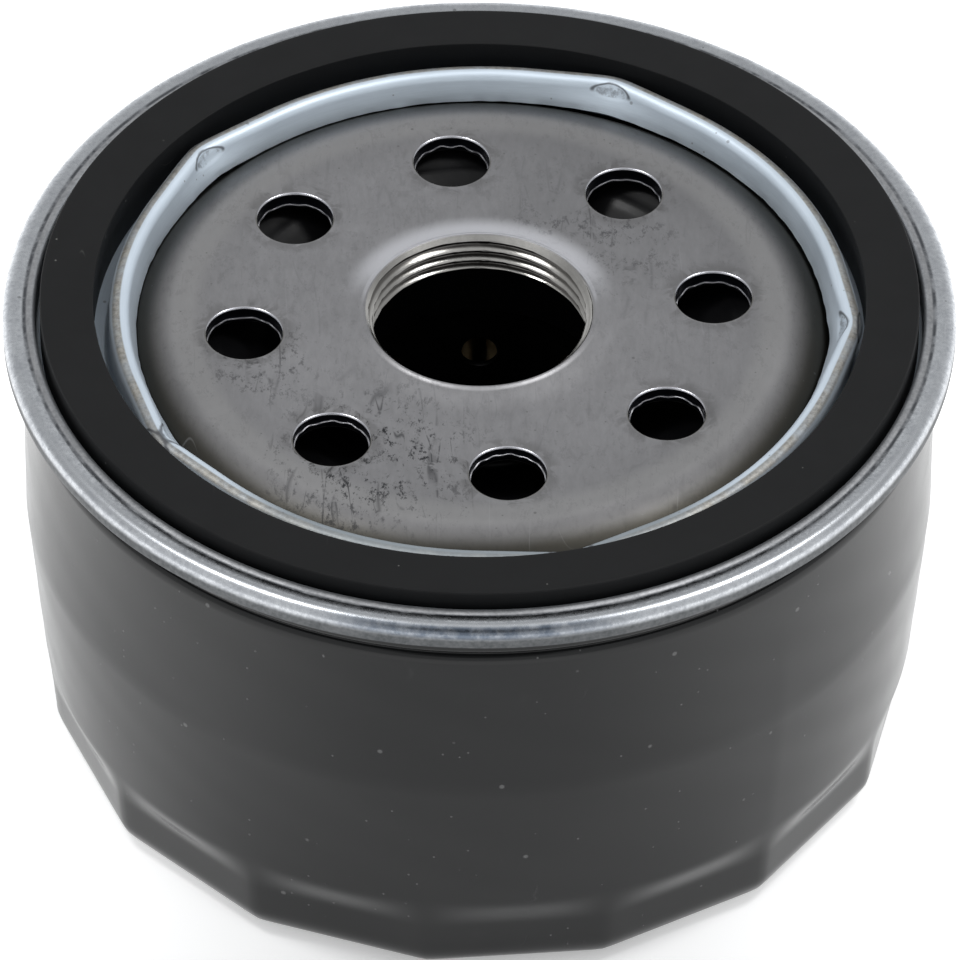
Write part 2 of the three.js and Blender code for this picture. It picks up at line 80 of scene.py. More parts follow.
def rounded(corners, step_degrees=15):
    """Turns corners [r, z, fillet] into points, with each filleted corner as an arc."""
    points = []
    count = len(corners)
    for i, corner in enumerate(corners):
        at = np.array(corner[:2], float)
        fillet = corner[2] if len(corner) > 2 else 0
        if not fillet:
            points.append(list(at))
            continue
        back = np.array(corners[i - 1][:2], float) - at
        ahead = np.array(corners[(i + 1) % count][:2], float) - at
        back /= np.linalg.norm(back)
        ahead /= np.linalg.norm(ahead)
        half = math.acos(np.clip(back @ ahead, -1, 1)) / 2
        middle = back + ahead
        centre = at + middle / np.linalg.norm(middle) * fillet / math.sin(half)
        start = at + back * fillet / math.tan(half) - centre
        turn = -(math.pi - 2 * half) * np.sign(back[0] * ahead[1] - back[1] * ahead[0])
        steps = max(2, round(math.degrees(abs(turn)) / step_degrees))
        for k in range(steps + 1):
            c, s = math.cos(turn * k / steps), math.sin(turn * k / steps)
            points.append([centre[0] + start[0] * c - start[1] * s, centre[1] + start[0] * s + start[1] * c])
    return points


def refine(points, longest, closed=True):
    """Adds points so that no side is longer than longest."""
    out = []
    count = len(points)
    for i in range(count if closed else count - 1):
        a, b = np.array(points[i], float), np.array(points[(i + 1) % count], float)
        steps = max(1, math.ceil(np.linalg.norm(b - a) / longest))
        out += [list(a + (b - a) * k / steps) for k in range(steps)]
    if not closed:
        out.append(list(points[-1]))
    return out


def box(r1, z1, r2, z2, *fillets):
    """The corners of a rectangle, for rounded(). The fillets start at (r1, z1), and one may stand for all."""
    corners = [r1, z1], [r2, z1], [r2, z2], [r1, z2]
    return [[r, z, fillets[i % len(fillets)]] for i, (r, z) in enumerate(corners)]


def walk(corners, counts):
    """Points along a closed loop of corners, with so many steps on each side."""
    corners = np.array(corners, float)
    sides = zip(corners, np.roll(corners, -1, 0), counts)
    return [a + (b - a) * i / n for a, b, n in sides for i in range(n)]


def smoothstep(x, low, high):
    t = np.clip((x - low) / (high - low), 0, 1)
    return t * t * (3 - 2 * t)


class Shell:
    """Vertices and faces gathered from several patches, welded when the mesh is made."""

    def __init__(self):
        self.vertices, self.faces, self.count = [], [], 0

    def add(self, vertices, faces):
        self.vertices.append(np.asarray(vertices, float).reshape(-1, 3))
        self.faces += [tuple(int(i) + self.count for i in f) for f in faces]
        self.count += len(self.vertices[-1])

    def grid(self, points, closed_u=False, closed_v=False):
        """points[u, v] is a grid of vertices; its faces look along du x dv."""
        nu, nv = points.shape[:2]
        faces = []
        for u in range(nu if closed_u else nu - 1):
            for v in range(nv if closed_v else nv - 1):
                u2, v2 = (u + 1) % nu, (v + 1) % nv
                faces.append((u * nv + v, u2 * nv + v, u2 * nv + v2, u * nv + v2))
        self.add(points.reshape(-1, 3), faces)

    def turned(self, outline, segments, shape=None, start=0.0, closed=True):
        """Turns an outline, counterclockwise in (r, z), about the Z axis. shape(r, azimuth, z) moves it."""
        outline = np.array(outline, float)
        azimuth = np.radians(start + np.arange(segments) * 360 / segments)
        r = np.repeat(outline[None, :, 0], segments, 0)
        z = np.repeat(outline[None, :, 1], segments, 0)
        a = np.repeat(azimuth[:, None], len(outline), 1)
        if shape:
            r, z = shape(r, np.degrees(a), z)
        points = np.stack([r * np.cos(a), r * np.sin(a), z], -1)
        self.grid(points, closed_u=True, closed_v=closed)

    def bar(self, rings):
        """Joins rings of equal count into a bar with closed ends."""
        rings = np.array(rings)
        self.grid(rings.transpose(1, 0, 2), closed_u=True)
        end = tuple(range(rings.shape[1]))
        self.add(rings[0], [end[::-1]])
        self.add(rings[-1], [end])


def welded(name, shell, weld, scale=1.0, outward=False):
    """An object of the shell's mesh, welded and scaled, with its faces turned outward if asked."""
    mesh = bpy.data.meshes.new(name)
    mesh.from_pydata(np.concatenate(shell.vertices).tolist(), [], shell.faces)
    bm = bmesh.new()
    bm.from_mesh(mesh)
    bmesh.ops.remove_doubles(bm, verts=bm.verts, dist=weld)
    bmesh.ops.dissolve_degenerate(bm, edges=bm.edges, dist=weld / 10)
    bmesh.ops.scale(bm, vec=(scale, scale, scale), verts=bm.verts)
    if outward:
        bmesh.ops.recalc_face_normals(bm, faces=bm.faces)
    bm.to_mesh(mesh)
    bm.free()
    thing = bpy.data.objects.new(name, mesh)
    bpy.context.scene.collection.objects.link(thing)
    return thing


def make(name, shell, node, slot, material, sharp=38, body=None, weld=1e-3):
    """Makes a shell the piece that stands for a CAD node."""
    piece = welded(name, shell, weld, MM)
    mesh = piece.data
    mesh.polygons.foreach_set("use_smooth", [True] * len(mesh.polygons))
    mesh.set_sharp_from_angle(angle=math.radians(sharp))
    mesh.materials.append(material)
    home = frame["nodes"][node]["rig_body"]
    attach(piece, body or home)
    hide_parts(node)
    return piece


def lathe(name, node, slot, material, outline, segments, shape=None, start=0.0, closed=True, **settings):
    """Makes a piece from one outline turned about the Z axis."""
    shell = Shell()
    shell.turned(outline, segments, shape, start, closed)
    return make(name, shell, node, slot, material, **settings)


def ripple(a, seed, terms, low, high):
    """A smooth random function of azimuth in degrees, about -1 to 1, of waves that fit round."""
    source = np.random.default_rng(seed)
    total = np.zeros_like(a)
    for _ in range(terms):
        total = total + np.cos(np.radians(source.integers(low, high) * a + source.uniform(0, 360)))
    return total / math.sqrt(terms)


# ---- material helpers


class Tree:
    """A short way to write a node tree."""

    def __init__(self, tree):
        self.tree = tree

    def new(self, kind, **settings):
        node = self.tree.nodes.new(kind)
        for key, value in settings.items():
            setattr(node, key, value)
        return node

    def put(self, socket, value):
        if isinstance(value, bpy.types.NodeSocket):
            self.tree.links.new(value, socket)
        elif socket.type == "RGBA":
            socket.default_value = (*value, 1) if isinstance(value, tuple) else (value, value, value, 1)
        else:
            socket.default_value = value

    def math(self, operation, a, b=0.0):
        node = self.new("ShaderNodeMath", operation=operation)
        self.put(node.inputs[0], a)
        self.put(node.inputs[1], b)
        return node.outputs[0]

    def times(self, *values):
        return reduce(lambda a, b: self.math("MULTIPLY", a, b), values)

    def most(self, *values):
        return reduce(lambda a, b: self.math("MAXIMUM", a, b), values)

    def weigh(self, *pairs):
        """The sum of values, each times its weight."""
        return reduce(lambda a, b: self.math("ADD", a, b), [self.times(*pair) for pair in pairs])

    def distance(self, x, y):
        return self.math("SQRT", self.math("ADD", self.times(x, x), self.times(y, y)))

    def vector(self, operation, a, b=None):
        node = self.new("ShaderNodeVectorMath", operation=operation)
        self.put(node.inputs[0], a)
        if b is not None:
            self.put(node.inputs[1], b)
        return node

    def parts(self, vector):
        node = self.new("ShaderNodeSeparateXYZ")
        self.put(node.inputs[0], vector)
        return list(node.outputs)

    def joined(self, *values):
        node = self.new("ShaderNodeCombineXYZ")
        for socket, value in zip(node.inputs, values):
            self.put(socket, value)
        return node.outputs[0]

    def between(self, value, low, high, start=0.0, end=1.0):
        """Smooth step from start at low to end at high, which may be the lesser of the two."""
        node = self.new("ShaderNodeMapRange", interpolation_type="SMOOTHSTEP")
        self.put(node.inputs["Value"], value)
        node.inputs["From Min"].default_value = min(low, high)
        node.inputs["From Max"].default_value = max(low, high)
        node.inputs["To Min"].default_value = start if low < high else end
        node.inputs["To Max"].default_value = end if low < high else start
        return node.outputs["Result"]

    def ramp(self, fac, *stops):
        """Stops are (position, grey or colour)."""
        node = self.new("ShaderNodeValToRGB")
        self.put(node.inputs["Fac"], fac)
        elements = node.color_ramp.elements
        while len(elements) < len(stops):
            elements.new(1.0)
        for element, (position, value) in zip(elements, stops):
            element.position = position
            element.color = (*value, 1) if isinstance(value, tuple) else (value, value, value, 1)
        return node.outputs["Color"]


class Nodes(Tree):
    """The node tree of a Principled material, in the object's own coordinates."""

    def __init__(self, name):
        self.material = bpy.data.materials.new(name)
        self.material.use_nodes = True
        super().__init__(self.material.node_tree)
        self.shader = self.tree.nodes["Principled BSDF"]
        self.coordinate = self.new("ShaderNodeTexCoord").outputs["Object"]

    def set(self, **values):
        for key, value in values.items():
            self.put(self.shader.inputs[key.replace("_", " ")], value)
        return self.material

    def stretch(self, scale, rotation=(0, 0, 0)):
        node = self.new("ShaderNodeMapping")
        self.put(node.inputs["Vector"], self.coordinate)
        node.inputs["Scale"].default_value = scale
        node.inputs["Rotation"].default_value = [math.radians(x) for x in rotation]
        return node.outputs[0]

    def noise(self, scale, detail=3.0, vector=None, roughness=0.55, distortion=0.0):
        node = self.new("ShaderNodeTexNoise")
        self.put(node.inputs["Vector"], vector or self.coordinate)
        node.inputs["Scale"].default_value = scale
        node.inputs["Detail"].default_value = detail
        node.inputs["Roughness"].default_value = roughness
        node.inputs["Distortion"].default_value = distortion
        return node.outputs["Fac"]

    def hoops(self, around, across):
        """Noise that runs in fine hoops round the Z axis, with no seam."""
        x, y, z = self.parts(self.coordinate)
        flat = self.joined(x, y)
        turn = self.parts(self.vector("NORMALIZE", flat).outputs[0])
        place = self.joined(self.times(turn[0], around), self.times(turn[1], around), self.times(z, across))
        node = self.new("ShaderNodeTexNoise", noise_dimensions="4D")
        self.put(node.inputs["Vector"], place)
        self.put(node.inputs["W"], self.times(self.vector("LENGTH", flat).outputs["Value"], across))
        node.inputs["Scale"].default_value = 1
        node.inputs["Detail"].default_value = 2
        return node.outputs["Fac"]

    def cylinder(self):
        """Distance from the Z axis, azimuth in degrees, and height, in millimetres."""
        x, y, z = (self.times(part, 1 / MM) for part in self.parts(self.coordinate))
        return self.distance(x, y), self.times(self.math("ARCTAN2", y, x), 180 / math.pi), z

    def facing(self):
        """How far the surface faces out from the Z axis, to the back, and up."""
        out = self.vector("NORMALIZE", self.stretch((1, 1, 0))).outputs[0]
        normal = self.new("ShaderNodeTexCoord").outputs["Normal"]
        _, backward, upward = self.parts(normal)
        return self.vector("DOT_PRODUCT", normal, out).outputs["Value"], backward, upward

    def near(self, x, y, inside, outside):
        """1 within inside millimetres of a vertical line at (x, y), falling to 0 at outside."""
        here = self.parts(self.coordinate)
        dx = self.math("SUBTRACT", here[0], x * MM)
        dy = self.math("SUBTRACT", here[1], y * MM)
        return self.between(self.distance(dx, dy), outside * MM, inside * MM)

    def sector(self, azimuth, first, count):
        """Azimuth from the nearest of count places round the axis, as a share of their pitch."""
        turn = self.math("DIVIDE", self.math("SUBTRACT", azimuth, first), 360 / count)
        return self.math("SUBTRACT", turn, self.math("ROUND", turn))

    def mix(self, fac, a, b):
        node = self.new("ShaderNodeMix", data_type="RGBA")
        self.put(node.inputs["Factor"], fac)
        self.put(node.inputs["A"], a)
        self.put(node.inputs["B"], b)
        return node.outputs["Result"]

    def coat(self, under, over, *masks):
        """Lays one value over another where all the masks are 1."""
        return self.mix(self.times(*masks), under, over)

    def specks(self, scale, size, share):
        """Round specks: scale cells per metre, size as a share of a cell, in a share of the cells."""
        node = self.new("ShaderNodeTexVoronoi")
        self.put(node.inputs["Vector"], self.coordinate)
        node.inputs["Scale"].default_value = scale
        dot = self.ramp(node.outputs["Distance"], (size * 0.6, 1.0), (size, 0.0))
        split = self.new("ShaderNodeSeparateColor")
        self.put(split.inputs[0], node.outputs["Color"])
        return self.times(dot, self.math("LESS_THAN", split.outputs[0], share))

    def scratches(self, scale, width, turn, amount=0.5, longest=0.06):
        """Thin, nearly straight lines that come and go. turn is a rotation, or its part about Z."""
        turn = turn if isinstance(turn, tuple) else (0, 0, turn)
        along = self.stretch((1, longest, 1), turn)
        line = self.math("ABSOLUTE", self.math("SUBTRACT", self.noise(scale, 1.0, along), 0.5))
        gate = self.ramp(self.noise(scale * 0.35, 2.0), (amount, 0.0), (amount + 0.12, 1.0))
        return self.times(self.ramp(line, (0.0, 1.0), (width, 0.0)), gate)

    def bump(self, height, distance, strength):
        node = self.new("ShaderNodeBump")
        self.put(node.inputs["Height"], height)
        node.inputs["Distance"].default_value = distance * MM
        node.inputs["Strength"].default_value = strength
        return node.outputs[0]


# ---- materials

HOLES, HOLE_AT, HOLE_CIRCLE, HOLE_RADIUS = 8, 142.1, 18.84, 3.02
LUGS, LUG_AT, LUG_HALF = 5, 140.4, 13.5
PRINT_Z, PRINT_HALF_WIDTH, PRINT_HALF_HEIGHT = 40.28, 1.65, 0.52


def can_paint():
    n = Nodes("can_paint")
    dust = n.most(n.specks(520, 0.13, 0.10), n.specks(1500, 0.16, 0.07))
    marks = n.scratches(300, 0.006, (20, 0, 35), 0.62)
    base = n.mix(n.noise(60, 4), (0.004, 0.0043, 0.0046), (0.007, 0.0074, 0.0078))
    base = n.coat(base, (0.16, 0.16, 0.16), dust, 0.5)
    base = n.coat(base, (0.09, 0.09, 0.095), marks, 0.15)
    rough = n.coat(n.ramp(n.noise(220, 4), (0.3, 0.15), (0.75, 0.22)), 0.5, marks, 0.4)
    orange_peel = n.bump(n.noise(1400, 2), 0.005, 0.5)
    return n.set(Base_Color=base, Roughness=rough, Normal=orange_peel, IOR=1.39)


def zinc():
    """Plated sheet: satin blue-white where it was only pressed, grey and speckled where tools rubbed it."""
    n = Nodes("zinc_plate")
    radius, azimuth, height = n.cylinder()
    outward, _, _ = n.facing()
    hoops, cloud = n.hoops(14, 9000), n.noise(95, 5, roughness=0.62)
    grain, patches = n.noise(2600, 4, roughness=0.75), n.noise(420, 4, roughness=0.7)
    worn = n.ramp(n.weigh((grain, 0.6), (patches, 0.4)), (0.40, 0.0), (0.60, 1.0))

    # the seam: the slope inside its crease, the crease with its shade painted in, a dark reflection painted on
    # the front shoulder, the side, and the foot painted dark as shadow
    seam = n.between(radius, 34.9, 36.0)
    inner = n.times(seam, n.between(radius, 36.35, 36.1))
    # painted shade: the crease is painted dark where its shade falls
    crease = n.times(n.between(radius, 36.02, 36.2), n.between(radius, 36.52, 36.3))
    crease = n.times(crease, n.between(height, 39.9, 40.3))
    # painted reflection: a dark patch painted on the seam's front shoulder, facing the camera
    front = n.times(n.near(0, -37.6, 6, 15), n.between(radius, 37.3, 37.6), n.between(height, 39.6, 39.9))
    band = n.times(seam, n.between(height, 40.15, 39.55))
    # painted shadow: the seam's lower curl is painted near black
    foot = n.times(seam, n.between(height, 38.95, 38.75))

    # the ridge: its brown crest, darkened in part as a painted reflection and painted greyer at the front as
    # shade, and the crescent print of the punch in each lug, its upper edge painted dark as shade
    ridge = n.between(radius, 34.0, 32.0)
    top = n.times(n.between(height, 39.9, 40.4), ridge)
    # painted shade: the crest is painted darker and greyer at the front
    painted_front_crest_shade = n.times(n.near(0, -29, 14, 24), top)
    # the crest's brown is real speckled wear, darkened in part as a painted reflection, and painted on less at
    # the front
    crest = n.times(n.between(outward, -0.10, 0.06), top, n.between(outward, 0.85, 0.60))
    crest = n.times(crest, n.ramp(n.near(0, -28, 9, 20), (0.0, 1.0), (1.0, 0.35)))
    swing = n.times(n.sector(azimuth, LUG_AT, LUGS), 2 * math.pi / LUGS)
    sideways = n.math("DIVIDE", n.times(swing, radius), PRINT_HALF_WIDTH)
    upwards = n.math("DIVIDE", n.math("SUBTRACT", height, PRINT_Z), PRINT_HALF_HEIGHT)
    unevenness = n.times(n.math("SUBTRACT", n.noise(700, 2), 0.5), 0.35)
    disc = n.math("ADD", n.distance(sideways, upwards), unevenness)
    # painted shade: a dark line along the upper edge of each lug's print
    painted_print_edge_shade = n.times(n.between(disc, 0.80, 0.95), n.between(disc, 1.15, 1.0), n.between(upwards, -0.5, 0.1))
    painted_print_edge_shade = n.times(painted_print_edge_shade, ridge)
    inside = n.times(n.between(disc, 0.9, 0.7), ridge, n.between(outward, 0.1, -0.1))
    inside = n.times(inside, n.ramp(n.noise(1100, 4, roughness=0.7), (0.46, 0.0), (0.60, 0.6)))

    tone = n.ramp(n.weigh((hoops, 0.35), (cloud, 0.65)), (0.34, 0.0), (0.66, 1.0))
    base = n.mix(tone, (0.56, 0.635, 0.71), (0.65, 0.73, 0.81))
    base = n.coat(base, n.mix(worn, (0.40, 0.415, 0.44), (0.61, 0.63, 0.655)), seam)
    base = n.coat(base, n.mix(worn, (0.24, 0.245, 0.255), (0.38, 0.385, 0.395)), inner)
    base = n.coat(base, (0.10, 0.105, 0.115), crease, n.ramp(patches, (0.36, 0.25), (0.56, 1.0)))
    base = n.coat(base, (0.11, 0.135, 0.175), front, n.ramp(patches, (0.34, 0.35), (0.60, 0.95)))
    base = n.coat(base, n.mix(worn, (0.085, 0.09, 0.094), (0.15, 0.155, 0.16)), band)
    base = n.coat(base, (0.03, 0.03, 0.032), foot)
    base = n.coat(base, (0.20, 0.225, 0.24), painted_front_crest_shade, 0.8)
    brown = n.mix(worn, (0.17, 0.16, 0.145), (0.38, 0.37, 0.34))
    base = n.coat(base, brown, crest, n.ramp(patches, (0.3, 0.55), (0.6, 1.0)))
    spots = n.most(n.specks(900, 0.16, 0.02), n.specks(2100, 0.22, 0.03))
    base = n.coat(base, (0.12, 0.12, 0.12), spots, 0.5)
    lines = n.most(n.scratches(150, 0.004, 25, 0.58), n.scratches(190, 0.004, 118, 0.62))
    base = n.coat(base, (0.8, 0.82, 0.84), lines, 0.25)
    base = n.coat(base, (0.16, 0.17, 0.19), inside)
    base = n.coat(base, (0.06, 0.062, 0.07), painted_print_edge_shade, 0.8)

    rough = n.ramp(cloud, (0.3, 0.44), (0.7, 0.52))
    rough = n.coat(rough, n.ramp(worn, (0.0, 0.36), (1.0, 0.20)), seam)
    for value, mask in ((0.46, inner), (0.52, band), (0.46, crest)):
        rough = n.coat(rough, value, mask)
    relief = n.bump(n.weigh((hoops, 0.35), (grain, 0.65)), 0.0035, 0.5)
    metallic = n.ramp(seam, (0.0, 0.6), (1.0, 1.0))
    return n.set(Base_Color=base, Roughness=rough, Normal=relief, Metallic=metallic)


def plate_steel():
    """Bare pressed steel: oily, scuffed in places, with hole walls painted dark as shade, painted highlights and
    shade about the holes, swelling and rolled edge, and a bright cut thread.
    """
    n = Nodes("bare_steel")
    radius, azimuth, height = n.cylinder()
    _, backward, upward = n.facing()
    cloud, smooth = n.noise(140, 5, roughness=0.6), n.noise(45, 2)
    grain = n.noise(1900, 3, n.stretch((1, 0.35, 1), (0, 0, 12)), roughness=0.7)
    tone = n.weigh((cloud, 0.25), (smooth, 0.25), (grain, 0.5))
    base = n.mix(n.ramp(tone, (0.36, 0.0), (0.64, 1.0)), (0.265, 0.263, 0.270), (0.325, 0.322, 0.331))
    base = n.coat(base, (0.19, 0.188, 0.19), n.between(radius, 17.5, 24.0), 0.30)
    base = n.coat(base, (0.16, 0.16, 0.165), n.near(20, 24, 4, 34), 0.35)
    # a pale ring painted where the edge starts to roll down, a painted highlight, and the rolled edge painted
    # dark, a painted shadow under the lid's ridge
    painted_roll_highlight = n.times(n.between(radius, 21.6, 23.2), n.between(radius, 25.4, 24.2))
    base = n.coat(base, (0.40, 0.395, 0.39), painted_roll_highlight, 0.4)
    # painted shadow: the edge rolling down under the lid's ridge is painted near black
    base = n.coat(base, (0.028, 0.026, 0.020), n.between(radius, 24.2, 26.9), 0.95)

    # short dark scuffs: dense between the front left holes, thin elsewhere
    busy = n.most(n.near(-8, -17, 3, 12), n.times(n.near(9, 9, 2, 11), 0.6))
    busy = n.most(busy, n.times(n.near(-17, -6, 1, 8), 0.7), 0.13)
    ticks = n.most(n.scratches(300, 0.018, 8, 0.42, 0.14), n.scratches(520, 0.016, -42, 0.44, 0.16))
    flecks = n.noise(1500, 6, n.stretch((1, 0.6, 1), (0, 0, 30)), roughness=0.85)
    flecks = n.ramp(flecks, (0.53, 0.0), (0.58, 1.0))
    patch = n.ramp(n.noise(330, 4, roughness=0.7, distortion=0.8), (0.44, 0.0), (0.52, 1.0))
    marks = n.times(n.most(ticks, flecks), patch, busy)
    base = n.coat(base, (0.018, 0.019, 0.022), marks, 0.95)
    light = n.most(n.scratches(150, 0.003, 25, 0.57), n.scratches(190, 0.003, 118, 0.60))
    base = n.coat(base, (0.55, 0.55, 0.56), light, 0.3)
    spots = n.most(n.specks(900, 0.14, 0.02), n.specks(2100, 0.2, 0.03))
    base = n.coat(base, (0.10, 0.10, 0.10), spots, 0.5)

    # round the nearest inlet hole: its punched wall painted dark as shade, with a pale ledge painted as a
    # highlight, its rim painted light on the far side and dark on the near side, and a darker blotchy ring
    swing = n.times(n.sector(azimuth, HOLE_AT, HOLES), 2 * math.pi / HOLES)
    across = n.times(radius, n.math("SINE", swing))
    out = n.math("SUBTRACT", n.times(radius, n.math("COSINE", swing)), HOLE_CIRCLE)
    gap = n.math("SUBTRACT", n.distance(across, out), HOLE_RADIUS)
    hole_wall_shade_and_glint = n.times(n.between(gap, 0.10, 0.05), n.between(height, 39.70, 39.58))
    # painted shade in the hole wall, and a painted highlight on its upward-facing ledge
    base = n.coat(base, n.mix(grain, (0.010, 0.011, 0.018), (0.03, 0.032, 0.042)), hole_wall_shade_and_glint)
    base = n.coat(base, (0.36, 0.36, 0.38), hole_wall_shade_and_glint, n.between(upward, 0.25, 0.6))
    brink = n.times(n.between(gap, 0.20, 0.12), n.between(height, 39.58, 39.66))
    # painted highlight and shade: the rim is painted light on its far side and dark on its near side
    painted_rim_light_and_shade = n.mix(n.between(backward, 0.05, -0.3), (0.16, 0.155, 0.145), (0.56, 0.56, 0.60))
    base = n.coat(base, painted_rim_light_and_shade, brink)
    # a darker blotchy ring round the hole
    ring = n.times(n.between(gap, 1.5, 0.4), n.between(gap, 0.05, 0.3))
    base = n.coat(base, (0.10, 0.098, 0.095), ring, patch, 0.35)

    # the swelling's back slope is painted bright, a painted highlight, and the thread is cut bright, with
    # painted shade in its grooves just under the mouth
    painted_swell_highlight = n.times(n.between(radius, 12.2, 10.0), n.between(backward, 0.01, 0.10), n.near(0, 10, 8, 16))
    base = n.coat(base, (0.62, 0.62, 0.65), painted_swell_highlight, 0.85)
    cut = n.between(radius, 9.12, 9.04)
    base = n.coat(base, n.mix(grain, (0.30, 0.29, 0.275), (0.46, 0.45, 0.43)), cut)
    # painted shade: the thread's grooves just under the mouth are painted dark
    groove = n.times(cut, n.between(height, 40.1, 39.9), n.between(radius, 8.66, 8.86))
    base = n.coat(base, (0.06, 0.055, 0.05), groove, 0.75)

    rough = n.coat(n.ramp(cloud, (0.3, 0.38), (0.7, 0.46)), 0.7, marks, 0.7)
    rough = n.coat(n.coat(rough, 0.25, brink), 0.2, cut)
    return n.set(Base_Color=base, Roughness=rough, Normal=n.bump(grain, 0.003, 0.5), Metallic=1.0)


def metal(name, dark, light, rough, streak, smudge):
    """Sheet metal: fine hoops from the press, cloudy tone, dark smudges and specks, and light scratches."""
    n = Nodes(name)
    hoops, cloud = n.hoops(*streak), n.noise(95, 5, roughness=0.62)
    base = n.mix(n.ramp(n.weigh((hoops, 0.45), (cloud, 0.55)), (0.34, 0.0), (0.66, 1.0)), dark, light)
    soot = n.ramp(n.noise(170, 6, roughness=0.7, distortion=0.6), (0.58, 0.0), (0.76, 1.0))
    base = n.coat(base, tuple(0.35 * c for c in dark), soot, smudge)
    spots = n.most(n.specks(900, 0.16, 0.03), n.specks(2100, 0.22, 0.06))
    base = n.coat(base, tuple(0.3 * c for c in dark), spots, 0.45)
    lines = n.most(n.scratches(150, 0.004, 25, 0.56), n.scratches(190, 0.004, 118, 0.60))
    base = n.coat(base, tuple(1.5 * c for c in light), lines, 0.4)
    low, high = rough
    worn = n.coat(n.ramp(n.noise(240, 4), (0.3, low), (0.7, high)), high + 0.2, soot, 0.6)
    relief = n.bump(n.weigh((hoops, 0.6), (n.noise(2600, 2), 0.4)), 0.004, 0.6)
    return n.set(Base_Color=base, Roughness=worn, Normal=relief, Metallic=1.0)


def rubber(name, dark, light, rough, dust):
    n = Nodes(name)
    motes = n.most(n.specks(430, 0.11, dust), n.specks(1300, 0.13, dust * 0.6))
    lint = n.scratches(260, 0.004, 60, 0.66, 0.12)
    base = n.coat(n.mix(n.noise(140, 4), dark, light), (0.2, 0.2, 0.19), n.most(motes, lint), 0.55)
    low, high = rough
    relief = n.bump(n.noise(2200, 3), 0.008, 0.6)
    rough = n.ramp(n.noise(300, 3), (0.3, low), (0.7, high))
    return n.set(Base_Color=base, Roughness=rough, Normal=relief, Specular_IOR_Level=0.2)


def paper():
    n = Nodes("filter_paper")
    fibres = n.noise(900, 5, n.stretch((1, 1, 0.25)), roughness=0.7)
    base = n.mix(fibres, (0.62, 0.42, 0.18), (0.83, 0.67, 0.40))
    base = n.coat(base, (0.3, 0.18, 0.08), n.specks(900, 0.2, 0.08), 0.5)
    rough = n.ramp(fibres, (0.3, 0.8), (0.7, 0.95))
    return n.set(Base_Color=base, Roughness=rough, Normal=n.bump(fibres, 0.05, 0.7), Sheen_Weight=0.15)


def poured(name, dark, light, rough):
    """Adhesive or sealant that set in place."""
    n = Nodes(name)
    base = n.mix(n.noise(150, 4, distortion=0.8), dark, light)
    base = n.coat(base, tuple(0.4 * c for c in dark), n.specks(600, 0.3, 0.12), 0.6)
    rough = n.ramp(n.noise(400, 3), (0.3, rough), (0.7, rough + 0.18))
    return n.set(Base_Color=base, Roughness=rough, Normal=n.bump(n.noise(500, 4), 0.06, 0.6))


PAINT, ZINC, STEEL, PAPER = can_paint(), zinc(), plate_steel(), paper()
DARK = metal("dark_steel", (0.035, 0.035, 0.037), (0.075, 0.075, 0.078), (0.34, 0.48), (6, 1500), 0.4)
TIN = metal("tin_plate", (0.48, 0.48, 0.46), (0.64, 0.64, 0.62), (0.26, 0.40), (6, 2500), 0.15)
WIRE = metal("spring_steel", (0.075, 0.075, 0.073), (0.14, 0.138, 0.13), (0.30, 0.42), (20, 3000), 0.3)
PIN = metal("spring_steel_pin", (0.03, 0.03, 0.031), (0.055, 0.055, 0.056), (0.55, 0.62), (14, 9000), 0.3)
GASKET = rubber("gasket_rubber", (0.003, 0.0032, 0.0036), (0.005, 0.0053, 0.0058), (0.52, 0.62), 0.06)
VALVE = rubber("valve_rubber", (0.002, 0.002, 0.0024), (0.004, 0.004, 0.0046), (0.26, 0.36), 0.01)
ADHESIVE = poured("adhesive", (0.30, 0.14, 0.04), (0.52, 0.28, 0.10), 0.30)
SEALANT = poured("seam_sealant", (0.15, 0.19, 0.22), (0.24, 0.29, 0.32), 0.45)


# ---- housing

FLATS = 15
FLAT_CORNER = 191.4
CREASE_AT = -48.6
CAN_FOOT, CAN_TOP, TAPER_TOP, WALL = 34.6, 36.45, 22.0, 0.45


def can_radius(z):
    return CAN_FOOT + (CAN_TOP - CAN_FOOT) * np.minimum(1, z / TAPER_TOP)


